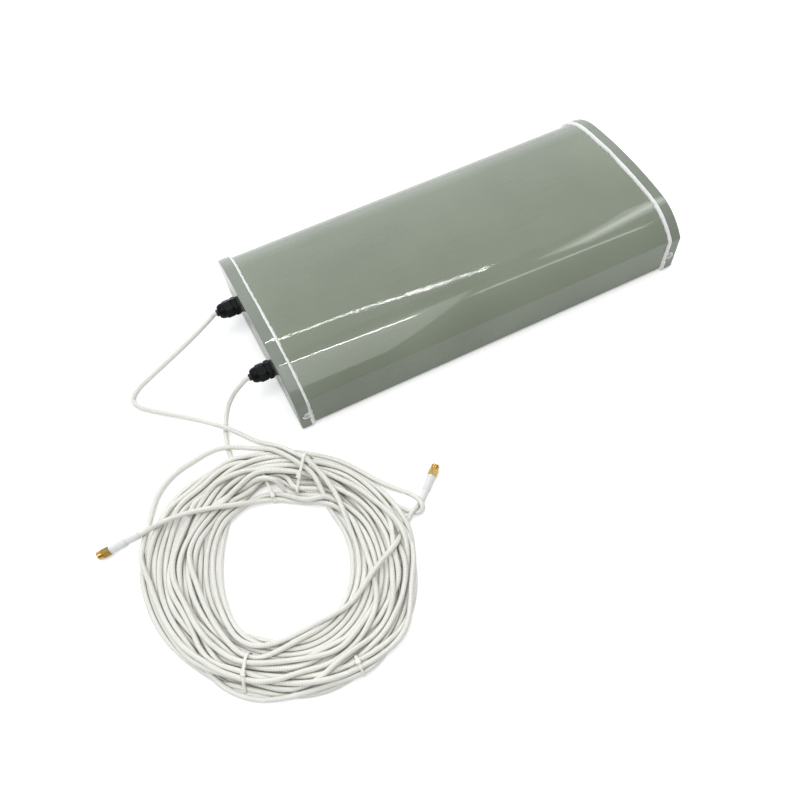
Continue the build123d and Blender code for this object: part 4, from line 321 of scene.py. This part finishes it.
def plastic(name, base, rough=0.5, grain=0.12, scale=1500.0, bump=0.00006, sss=0.0, vary=0.10, spec=0.5):
    m = Nodes(name)
    n1, n2 = m.noise(scale, 3.0), m.noise(60.0, 3.0)
    c = m.mix(m.ramp(n2, [(0.3, 0.0), (0.7, 1.0)]), tuple(x * (1 - vary) for x in base), tuple(min(1, x * (1 + vary)) for x in base))
    m.set(base=c, rough=m.math("ADD", m.math("MULTIPLY", n1, grain), rough - grain / 2), sss=sss, spec=spec)
    m.bsdf.inputs["Subsurface Radius"].default_value = (0.004, 0.0038, 0.0034)
    m.bump(n1, bump)
    return m.mat


def metal(name, base, rough=0.25, brushed=(1, 1, 1), vary=0.15, bump=0.00003):
    m = Nodes(name)
    at = m.coords(brushed)
    n1, n2 = m.noise(700.0, 3.0, 0.6, at), m.noise(90.0, 4.0)
    c = m.mix(m.ramp(n2, [(0.3, 0.0), (0.75, 1.0)]), tuple(x * (1 - vary) for x in base), base)
    m.set(base=c, metal=1.0, rough=m.math("ADD", m.math("MULTIPLY", n1, 0.16), rough - 0.06))
    m.bump(n1, bump)
    return m.mat


def cable_mat(name):
    """White jacket drawn over a braid, with painted shade: pale on the ribs, warm grey down between them, darker in
    the hollows of the fine helical weave.
    """
    m = Nodes(name)
    uv = m.new("ShaderNodeUVMap")
    uv.uv_map = "UVMap"
    sep = m.new("ShaderNodeSeparateXYZ")
    m.link(uv.outputs[0], sep.inputs[0])
    along, around = sep.outputs[0], sep.outputs[1]
    two = 2 * math.pi

    def wave(a, b):
        s = m.math("ADD", m.math("MULTIPLY", along, a * two), m.math("MULTIPLY", around, b * two))
        return m.math("SINE", s)

    weave = m.math("MULTIPLY", wave(0.385, 6.0), wave(0.385, -6.0))
    weave = m.math("ADD", m.math("MULTIPLY", weave, 0.5), 0.5)
    rib = m.math("ADD", m.math("MULTIPLY", wave(0.769, 0.0), 0.5), 0.5)
    n2 = m.noise(26.0, 3.0)
    n3 = m.noise(700.0, 2.0)
    # painted shade: warm grey down in the grooves between the ribs, pale on their crests
    c = m.mix(m.ramp(rib, [(0.0, 0.0), (0.5, 1.0)]), (0.75, 0.735, 0.65), (0.985, 0.985, 0.935))
    # painted shade: darker grey in the hollows of the weave
    c = m.mix(m.math("MULTIPLY", m.ramp(weave, [(0.0, 1.0), (0.4, 0.0)]), 0.22), c, (0.66, 0.64, 0.58))
    c = m.mix(m.math("MULTIPLY", m.ramp(n2, [(0.35, 0.0), (0.75, 1.0)]), 0.12), c, (0.80, 0.77, 0.69))
    # painted shade: darkened to warm grey where two turns lie against each other
    ao = m.new("ShaderNodeAmbientOcclusion")
    ao.samples = 6
    ao.inputs["Distance"].default_value = 0.006
    c = m.mix(m.ramp(ao.outputs["AO"], [(0.08, 1.0), (0.52, 0.0)]), c, (0.46, 0.435, 0.35))
    m.set(base=c, rough=m.math("ADD", m.math("MULTIPLY", n3, 0.14), 0.22), coat=0.35)
    m.bsdf.inputs["Coat Roughness"].default_value = 0.12
    h = m.math("ADD", m.math("MULTIPLY", weave, 0.6), m.math("MULTIPLY", rib, 0.8))
    m.bump(h, 0.00006)
    return m.mat


def tie_mat(name):
    m = Nodes(name)
    n1, n2 = m.noise(1200.0, 2.0), m.noise(120.0, 2.0)
    c = m.mix(m.ramp(n2, [(0.3, 0.0), (0.7, 1.0)]), (0.90, 0.90, 0.80), (0.96, 0.96, 0.88))
    m.set(base=c, rough=m.math("ADD", m.math("MULTIPLY", n1, 0.15), 0.28), sss=0.2)
    m.bsdf.inputs["Subsurface Radius"].default_value = (0.003, 0.003, 0.0026)
    m.bump(n1, 0.00004)
    return m.mat


def board_mat(name):
    m = Nodes(name)
    tr = m.ramp(m.noise(300.0, 0.0, 0.0, m.coords((1, 0.2, 1))), [(0.52, 0.0), (0.54, 1.0)])
    c = m.mix(tr, (0.02, 0.12, 0.045), (0.05, 0.22, 0.08))
    m.set(base=c, rough=0.3, coat=0.3)
    m.bump(tr, 0.00003)
    return m.mat


MATS = {
    "radome_gloss": gloss_shell("radome_gloss", (0.232, 0.266, 0.199)),
    "cap_gloss": gloss_shell("cap_gloss", (0.240, 0.272, 0.222), 0.8),
    "sealant": plastic("sealant", (0.95, 0.95, 0.93), 0.42, 0.10, 500.0, 0.0002, 0.15, 0.04),
    "screw_steel": metal("screw_steel", (0.58, 0.59, 0.60), 0.28),
    "gland_nylon": plastic("gland_nylon", (0.0035, 0.0045, 0.0055), 0.36, 0.16, 1800.0, 0.00008, 0.0, 0.25, 0.14),
    "black_rubber": plastic("black_rubber", (0.016, 0.016, 0.017), 0.62, 0.15, 900.0, 0.0001, 0.0, 0.2),
    "cable_jacket": cable_mat("cable_jacket"),
    "shrink_sleeve": plastic("shrink_sleeve", (0.86, 0.87, 0.86), 0.40, 0.10, 260.0, 0.00012, 0.12, 0.03),
    "gold_plate": metal("gold_plate", (0.80, 0.53, 0.17), 0.22, (1, 1, 1), 0.22, 0.00004),
    "spring_ring": metal("spring_ring", (0.62, 0.40, 0.16), 0.3),
    "ptfe": plastic("ptfe", (0.84, 0.84, 0.80), 0.45, 0.1, 800.0, 0.00004, 0.15, 0.03),
    "plug_gasket": plastic("plug_gasket", (0.36, 0.07, 0.03), 0.5, 0.1),
    "array_aluminium": metal("array_aluminium", (0.70, 0.71, 0.72), 0.32, (0.04, 1, 1)),
    "feed_box_plastic": plastic("feed_box_plastic", (0.03, 0.03, 0.033), 0.5, 0.15),
    "board": board_mat("board"),
    "coax_core": metal("coax_core", (0.72, 0.36, 0.17), 0.35, (0.2, 1, 1)),
    "tie_nylon": tie_mat("tie_nylon"),
    "former_plastic": plastic("former_plastic", (0.12, 0.125, 0.13), 0.5, 0.15),
    "plate_aluminium": metal("plate_aluminium", (0.62, 0.63, 0.64), 0.36, (0.05, 1, 1)),
    "insert_brass": metal("insert_brass", (0.70, 0.48, 0.18), 0.3),
}
SLOT_OF = {s["node"]: s["material_slot"] for s in frame["record"]["subparts"]}


def paint(obj, slot):
    obj.data.materials.clear()
    obj.data.materials.append(MATS[slot])
    for p in obj.data.polygons:
        p.material_index = 0


for n, o in frame["nodes"].items():
    paint(o, SLOT_OF[n])


def mesh_piece(name, verts, faces, slot, body="antenna", smooth=True, uvs=None):
    me = bpy.data.meshes.new(name)
    me.from_pydata([tuple(v) for v in verts], [], faces)
    if uvs is not None:
        layer = me.uv_layers.new(name="UVMap")
        idx = np.zeros(len(me.loops), np.int32)
        me.loops.foreach_get("vertex_index", idx)
        layer.data.foreach_set("uv", np.asarray(uvs, np.float32)[idx].ravel())
    me.polygons.foreach_set("use_smooth", [smooth] * len(me.polygons))
    me.update()
    ob = bpy.data.objects.new(name, me)
    bpy.context.scene.collection.objects.link(ob)
    paint(ob, slot)
    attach(ob, body)
    return ob


# ------------------------------------------------------------- coaxial cables
def unit(v):
    return v / math.sqrt(float(v @ v))


def arcs_through(pts, t0, t1):
    pts = [np.array(p, float) for p in pts]
    tan = [np.array(t0, float)]
    for a, b, c in zip(pts, pts[1:], pts[2:]):
        u, v = b - a, c - b
        tan.append(unit(unit(u) * math.sqrt(v @ v) + unit(v) * math.sqrt(u @ u)))
    tan.append(np.array(t1, float))
    out = []
    for p, q, a, b in zip(pts, pts[1:], tan, tan[1:]):
        v, s, c = q - p, a + b, 1 - a @ b
        vs = v @ s
        d = (-vs + math.sqrt(vs * vs + 2 * c * (v @ v))) / (2 * c) if c > 1e-9 else (v @ v) / (2 * vs)
        m = (p + a * d + q - b * d) * 0.5
        ch = m - p
        out += [(p, a, m), (m, unit(ch * (2 * (a @ ch) / (ch @ ch)) - a), q)]
    return out


def sample(arc, step):
    """Evenly spaced points of one arc, its end left out."""
    p, t, q = arc
    ch = q - p
    length = math.sqrt(ch @ ch)
    half = math.acos(max(-1.0, min(1.0, float(t @ ch) / length)))
    if half < 2e-5:
        n = max(1, round(length / step))
        return [p + ch * (i / n) for i in range(n)]
    big = length / (2 * math.sin(half))
    m = unit(ch - t * (t @ ch))
    n = max(1, round(2 * half * big / step))
    f = [2 * half * i / n for i in range(n)]
    return [p + t * (big * math.sin(x)) + m * (big * (1 - math.cos(x))) for x in f]


def cable(tag, pts, sy, step=0.65, sides=10):
    o, d = np.array(PLUG[tag][0]), unit(np.array(PLUG[tag][1]))
    y = sy * ARRAY_Y
    A = lambda *v: np.array(v, float)
    chain = [(A(FEED_X + 5, y, FEED_Z), A(-1, 0, 0), A(FEED_X, y, FEED_Z))]
    chain += arcs_through([(FEED_X, y, FEED_Z), (-198, y, GLAND_Z)], (-1, 0, 0), (-1, 0, 0))
    chain += [(A(-198, y, GLAND_Z), A(-1, 0, 0), A(-241.5, y, GLAND_Z))]
    last = o + d * 4.0
    chain += arcs_through(list(pts) + [tuple(last)], (-1, 0, 0), tuple(d))
    chain += [(last, d, o + d * S_END)]
    raw = []
    for arc in chain:
        raw += sample(arc, 0.8)
    raw.append(o + d * S_END)
    raw = np.array(raw)
    # even spacing, one ring on each crest and one in each valley
    s = np.r_[0, np.cumsum(np.linalg.norm(np.diff(raw, axis=0), axis=1))]
    n = int(s[-1] / step)
    at = np.linspace(0, s[-1], n + 1)
    P = np.stack([np.interp(at, s, raw[:, k]) for k in range(3)], 1)
    held = (P[:, 0] > -241.0) & (P[:, 1] * sy > 20) & (P[:, 2] > 20) | (at > s[-1] - 26.5)
    # a jacket doesn't follow every small bend of its core: ease the run by up to 1.2 mm
    w = np.exp(-0.5 * (np.arange(-24, 25) * step / 5.5) ** 2)
    w /= w.sum()
    Q = np.stack([np.convolve(np.pad(P[:, k], 24, mode="edge"), w, "valid") for k in range(3)], 1)
    away = np.minimum(np.abs(at - at[held & (at < s[-1] / 2)].max()), np.abs(at - (s[-1] - 26.5)))
    free = np.clip(away / 25.0, 0, 1) * ~held
    mv = (Q - P) * free[:, None]
    far = np.linalg.norm(mv, axis=1)
    P = P + mv * np.minimum(1, 1.2 / np.maximum(far, 1e-6))[:, None]
    P[:, 2] = np.where(held, P[:, 2], np.maximum(P[:, 2], 2.47))
    T = np.gradient(P, axis=0)
    T /= np.linalg.norm(T, axis=1)[:, None]
    U = np.zeros_like(P)
    u = np.cross(T[0], (0, 0, 1.0))
    for i in range(n + 1):
        u = u - T[i] * (u @ T[i])
        u = u / math.sqrt(u @ u)
        U[i] = u
    V = np.cross(T, U)
    r = np.where(np.arange(n + 1) % 2 == 0, 2.47, 2.385)
    r = np.where(held, 2.4, r)
    a = 2 * math.pi * np.arange(sides) / sides
    ring = U[:, None, :] * np.cos(a)[None, :, None] + V[:, None, :] * np.sin(a)[None, :, None]
    verts = (P[:, None, :] + ring * r[:, None, None]).reshape(-1, 3)
    i = np.arange(n)[:, None] * sides
    j = np.arange(sides)[None, :]
    k = (j + 1) % sides
    quads = np.stack([i + j, i + k, i + sides + k, i + sides + j], 2).reshape(-1, 4)
    faces = quads.tolist()
    faces.append(list(range(sides))[::-1])
    faces.append([n * sides + q for q in range(sides)])
    # along the cable in mm, round it in turns (half a turn out and back, so that it meets itself)
    turn = np.abs(2 * np.arange(sides) / sides - 1)
    uv = np.stack([np.repeat(at, sides), np.tile(turn, n + 1)], 1)
    ob = mesh_piece(f"coax_cable_{tag}_braided", verts * MM, faces, "cable_jacket", uvs=uv)
    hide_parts(f"coax_cable_{tag}")
    return ob


cable("a", PATH_A, 1)
cable("b", PATH_B, -1)


# ------------------------------------------------------------ sealant by hand
def section(d):
    """The D section moved inward by d, from the near bottom corner round and back: (point, outward normal)."""
    a1 = math.radians(CROWN_HALF_DEG)
    k = CROWN_R - SHOULDER_R
    cz = HEIGHT - CROWN_R
    c2y, c2z = k * math.sin(a1), cz + k * math.cos(a1)
    r1, r2, yy = CROWN_R - d, SHOULDER_R - d, WIDTH / 2 - d
    ang = math.asin((yy - c2y) / r2)
    side_z = c2z + r2 * math.cos(ang)
    rc = max(0.4, 2.5 - d * 0.5)
    out = []

    def add(y, z, ny, nz):
        out.append((y, z, ny, nz))

    step = 1.1
    for t in np.linspace(-math.pi / 2, 0, 5):          # near bottom corner, at -Y
        add(-(yy - rc + rc * math.cos(t)), d + rc + rc * math.sin(t), -math.cos(t), math.sin(t))
    for z in np.arange(d + rc + step, side_z, step):
        add(-yy, z, -1, 0)
    for t in np.arange(ang, a1, -step / r2):
        add(-(c2y + r2 * math.sin(t)), c2z + r2 * math.cos(t), -math.sin(t), math.cos(t))
    for t in np.arange(a1, -a1, -step / r1):
        add(-r1 * math.sin(t), cz + r1 * math.cos(t), -math.sin(t), math.cos(t))
    for t in np.arange(a1, ang, step / r2):
        add(c2y + r2 * math.sin(t), c2z + r2 * math.cos(t), math.sin(t), math.cos(t))
    for z in np.arange(side_z, d + rc, -step):
        add(yy, z, 1, 0)
    for t in np.linspace(0, -math.pi / 2, 5):
        add(yy - rc + rc * math.cos(t), d + rc + rc * math.sin(t), math.cos(t), math.sin(t))
    for y in np.arange(yy - rc - step, -(yy - rc), -step):
        add(y, d, 0, -1)
    return np.array(out)


def waves(n, seed, parts):
    """A closed wandering line of n values between about -1 and 1."""
    g = np.random.default_rng(seed)
    t = 2 * np.pi * np.arange(n) / n
    v = np.zeros(n)
    for lo_, hi_, amp in parts:
        for f_ in range(lo_, hi_):
            v += amp / math.sqrt(hi_ - lo_) * np.sin(f_ * t + g.uniform(0, 2 * np.pi)) * g.uniform(0.5, 1.3)
    return v


def bead(sign, seed):
    sec = section(STEP_IN)
    n = len(sec)
    x0 = sign * (LENGTH / 2 - CAP_SKIRT)
    wide = 0.80 + 0.10 * waves(n, seed, [(2, 14, 1.0)]) + 0.08 * waves(n, seed + 1, [(30, 90, 1.0)])
    tall = 1 + 0.12 * waves(n, seed + 2, [(3, 20, 1.0)]) + 0.12 * waves(n, seed + 3, [(40, 110, 1.0)])
    shift = 0.16 * waves(n, seed + 4, [(3, 16, 1.0)]) + 0.06 * waves(n, seed + 5, [(30, 80, 1.0)])
    low = np.clip((24 - sec[:, 1]) / 18, 0, 1) * (np.abs(sec[:, 0]) > 99)     # thicker and rougher low on the sides
    wide = wide * (1 + 0.30 * low * (1 + waves(n, seed + 6, [(40, 120, 0.8)])))
    shift = shift - 0.5 * low * waves(n, seed + 7, [(40, 100, 1.0)])
    shape = [(-0.75, 2.02), (-0.62, 2.22), (-0.15, 2.42), (0.55, 2.38), (1.3, 2.05), (2.0, 1.45), (2.55, 0.75), (2.85, 0.2), (2.9, -0.1), (0.3, -0.1), (-0.3, 1.9)]
    m = len(shape)
    verts = []
    for i in range(n):
        y, z, ny, nz = sec[i]
        for j, (ax, h) in enumerate(shape):
            a_ = ax * wide[i] + shift[i] if 0 < j < 9 else ax * wide[i] + shift[i]
            if j in (9, 10):
                a_ = ax
            hh = 2.0 + (h - 2.0) * tall[i] if h > 2.0 else h * (tall[i] if h > 0.1 and j != 10 else 1)
            if nz < -0.3:
                hh = min(hh, 1.7)
            verts.append((x0 - sign * a_, y + ny * hh, max(0.12, z + nz * hh)))
    faces = []
    for i in range(n):
        k = (i + 1) % n
        for j in range(m):
            l = (j + 1) % m
            q = [i * m + j, i * m + l, k * m + l, k * m + j]
            faces.append(q if sign < 0 else q[::-1])
    name = "gland_end" if sign < 0 else "far_end"
    ob = mesh_piece(f"sealant_bead_{name}_laid", np.array(verts) * MM, faces, "sealant")
    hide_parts(f"sealant_bead_{name}")
    return ob


bead(-1, 11)
bead(1, 23)


def smear(name, line, width, height, y_face, sy, seed):
    """A low ragged ridge of sealant along a line of (x, z) on a cap's side."""
    line = np.array(line, float)
    s = np.r_[0, np.cumsum(np.linalg.norm(np.diff(line, axis=0), axis=1))]
    n = max(8, int(s[-1] / 0.35))
    at = np.linspace(0, s[-1], n)
    P = np.stack([np.interp(at, s, line[:, k]) for k in (0, 1)], 1)
    for _ in range(3):
        P[1:-1] = (P[:-2] + 2 * P[1:-1] + P[2:]) / 4
    T = np.gradient(P, axis=0)
    T /= np.linalg.norm(T, axis=1)[:, None]
    N = np.stack([-T[:, 1], T[:, 0]], 1)
    g = np.random.default_rng(seed)
    w = width * (1 + 0.25 * np.convolve(g.normal(size=n + 4), np.ones(5) / 5, "valid") * 1.6)
    end = np.minimum(1, np.minimum(np.arange(n), np.arange(n)[::-1]) / 3.0)
    w = np.maximum(0.08, w * np.sqrt(end))
    h = height * (1 + 0.25 * np.convolve(g.normal(size=n + 4), np.ones(5) / 5, "valid")) * np.sqrt(end) + 0.01
    prof = [(-1, -0.1), (-0.85, 0.45), (-0.45, 0.9), (0.0, 1.0), (0.45, 0.85), (0.85, 0.4), (1, -0.1)]
    verts, faces, m = [], [], len(prof)
    for i in range(n):
        for a_, b_ in prof:
            q = P[i] + N[i] * a_ * w[i]
            verts.append((q[0], y_face + sy * (b_ * h[i] if b_ > 0 else -0.12), max(0.1, q[1])))
    for i in range(n - 1):
        for j in range(m):
            l = (j + 1) % m
            q = [i * m + j, i * m + l, (i + 1) * m + l, (i + 1) * m + j]
            faces.append(q if sy < 0 else q[::-1])
    faces.append(list(range(m)) if sy > 0 else list(range(m))[::-1])
    faces.append([(n - 1) * m + j for j in (range(m)[::-1] if sy > 0 else range(m))])
    return mesh_piece(name, np.array(verts) * MM, faces, "sealant")


for k, (sx, sy) in enumerate([(-1, -1), (-1, 1), (1, -1), (1, 1)]):
    cx, cz_, g = sx * 207.2, 17.9, random.Random(40 + k)
    ang0 = g.uniform(0, 2 * math.pi)
    ring = [
        (cx + (3.45 + g.uniform(-0.15, 0.2)) * math.cos(ang0 + t), cz_ + (3.45 + g.uniform(-0.15, 0.2)) * math.sin(ang0 + t))
        for t in np.linspace(0, math.radians(g.uniform(250, 320)), 16)
    ]
    smear(f"screw_sealant_{k + 1}_ring", ring, 0.55, 0.28, sy * 105.0, sy, 60 + k)
    tail = [(cx - sx * 2.6, cz_ + 2.0), (cx - sx * 3.4, cz_ + 4.0 + g.uniform(0, 2)), (cx - sx * 4.0, cz_ + 9 + g.uniform(0, 3))]
    smear(f"screw_sealant_{k + 1}_tail", tail, 0.5, 0.22, sy * 105.0, sy, 80 + k)
    foot = [(sx * 203.6, 12.0 + g.uniform(-1, 1)), (sx * 204.2, 8.0), (sx * 203.5, 4.0), (sx * 204.4, 1.2)]
    smear(f"joint_sealant_{k + 1}_foot", foot, 0.8, 0.25, sy * 105.0, sy, 100 + k)

# ---------------------------------------------------------------------- stage
def stage_plane(name, size, z, mat):
    me = bpy.data.meshes.new(name)
    s = size / 2
    me.from_pydata([(-s, -s, z), (s, -s, z), (s, s, z), (-s, s, z)], [], [(0, 1, 2, 3)])
    ob = bpy.data.objects.new(name, me)
    bpy.context.scene.collection.objects.link(ob)
    me.materials.append(mat)
    return ob


m = Nodes("floor_white")
pale = m.mix(m.noise(3.0, 2.0), (0.90, 0.90, 0.90), (0.93, 0.93, 0.93))
m.set(base=pale, rough=0.85, spec=0.1)
em = m.new("ShaderNodeEmission")
em.inputs["Color"].default_value = (1, 1, 1, 1)
# the floor reads white to the eye without lighting the object
seen = m.new("ShaderNodeLightPath").outputs["Is Camera Ray"]
m.link(m.math("ADD", m.math("MULTIPLY", seen, 0.35), 0.06), em.inputs["Strength"])
add = m.new("ShaderNodeAddShader")
m.link(m.bsdf.outputs[0], add.inputs[0])
m.link(em.outputs[0], add.inputs[1])
m.link(add.outputs[0], m.out.inputs[0])
stage_plane("floor", 14.0, -0.0004, m.mat)


def area(name, at, to, sx, sy, watts, color=(1, 1, 1), spin=None):
    li = bpy.data.lights.new(name, "AREA")
    li.shape = "RECTANGLE"
    li.size, li.size_y = sx, sy
    li.energy = watts
    li.color = color
    ob = bpy.data.objects.new(name, li)
    bpy.context.scene.collection.objects.link(ob)
    ob.location = at
    z = (Vector(at) - Vector(to)).normalized()
    if spin is None:
        ob.rotation_euler = (-z).to_track_quat("-Z", "Y").to_euler()
    else:
        x = Vector(spin)
        x = (x - z * x.dot(z)).normalized()
        y = z.cross(x)
        from mathutils import Matrix
        ob.rotation_euler = Matrix((x, y, z)).transposed().to_euler()
    return ob


# soft boxes, and two ceiling tubes whose reflections run along the near shoulder
area("soft_left", (-1.6, -0.5, 1.9), (0, -0.05, 0), 1.6, 1.6, 12.0)
back = area("soft_back", (0.3, 2.2, 1.5), (0, 0, 0), 2.6, 1.4, 9.0)
back.visible_glossy = False
area("soft_top", (-0.2, -0.5, 2.6), (-0.1, -0.1, 0), 2.0, 2.0, 24.0)
tube1 = area("tube_1", (0.13, 0.60, 1.03), (-0.1, -0.05, 0.05), 0.72, 0.0038, 0.42, spin=(0.39, -0.075, -0.01))
tube2 = area("tube_2", (0.06, 0.10, 1.215), (-0.14, -0.07, 0.05), 0.46, 0.013, 1.3, spin=(0.358, -0.24, 0.0))
for k, (across, watts) in enumerate([(0.045, 0.07), (0.11, 0.26), (0.21, 0.46)]):
    area(f"far_glow_{k + 1}", (0.70, 0.13, 0.88 + 0.004 * k), (0.14, -0.07, 0.05), 0.28 + 0.06 * k, across, watts * 1.0, spin=(0.166, 0.176, -0.094))
for k, (across, watts) in enumerate([(0.022, 0.13), (0.07, 0.16)]):
    area(f"edge_glow_{k + 1}", (0.54, -0.19, 0.935 + 0.004 * k), (0.08, -0.08, 0.05), 0.42 + 0.05 * k, across, watts * 1.0, spin=(0.40, -0.12, -0.125))

world = bpy.data.worlds.new("studio")
bpy.context.scene.world = world
world.use_nodes = True
bg = world.node_tree.nodes["Background"]
bg.inputs[0].default_value = (0.95, 0.97, 1.0, 1)
# the room is brighter behind the object, and fades without an edge
way = world.node_tree.nodes.new("ShaderNodeTexCoord")
sep = world.node_tree.nodes.new("ShaderNodeSeparateXYZ")
fade = world.node_tree.nodes.new("ShaderNodeMapRange")
fade.interpolation_type = "SMOOTHSTEP"
for k, v in (("From Min", 0.25), ("From Max", 0.95), ("To Min", 0.26), ("To Max", 1.15)):
    fade.inputs[k].default_value = v
world.node_tree.links.new(way.outputs["Generated"], sep.inputs[0])
world.node_tree.links.new(sep.outputs[1], fade.inputs["Value"])
# past the floor's edge the eye meets plain white
looked = world.node_tree.nodes.new("ShaderNodeLightPath")
top = world.node_tree.nodes.new("ShaderNodeMath")
top.operation = "MAXIMUM"
world.node_tree.links.new(fade.outputs["Result"], top.inputs[0])
world.node_tree.links.new(looked.outputs["Is Camera Ray"], top.inputs[1])
world.node_tree.links.new(top.outputs[0], bg.inputs[1])

# --------------------------------------------------------------------- camera
cam_data = bpy.data.cameras.new("camera")
cam = bpy.data.objects.new("camera", cam_data)
bpy.context.scene.collection.objects.link(cam)
cam_data.sensor_width = 36.0
cam_data.lens = 667.656 / 800 * 36.0
cam_data.clip_start, cam_data.clip_end = 0.01, 50.0
RIGHT = Vector((0.88698908, -0.45999187, -0.04071673))
DOWN = Vector((-0.43546058, -0.80381118, -0.40529208))
AHEAD = Vector((0.1537025, 0.37722018, -0.91328007))
from mathutils import Matrix
R = Matrix((RIGHT, -DOWN, -AHEAD)).transposed()
cam.rotation_mode = "XYZ"
cam.rotation_euler = R.to_euler("XYZ")
cam.location = (-0.25524553, -0.50006045, 0.54142355)
bpy.context.scene.camera = cam
# the main picture is cut off-centre; a camera turned round the object looks straight at it
for prop, value in (("shift_x", -30.641 / 800), ("shift_y", 149.139 / 800)):
    dr = cam_data.driver_add(prop).driver
    dr.type = "SCRIPTED"
    v = dr.variables.new()
    v.name = "m"
    v.type = "SINGLE_PROP"
    v.targets[0].id = cam
    v.targets[0].data_path = "rotation_mode"
    dr.expression = f"{value:.6f} * min(1, m)"
bpy.context.scene.view_settings.view_transform = "Standard"
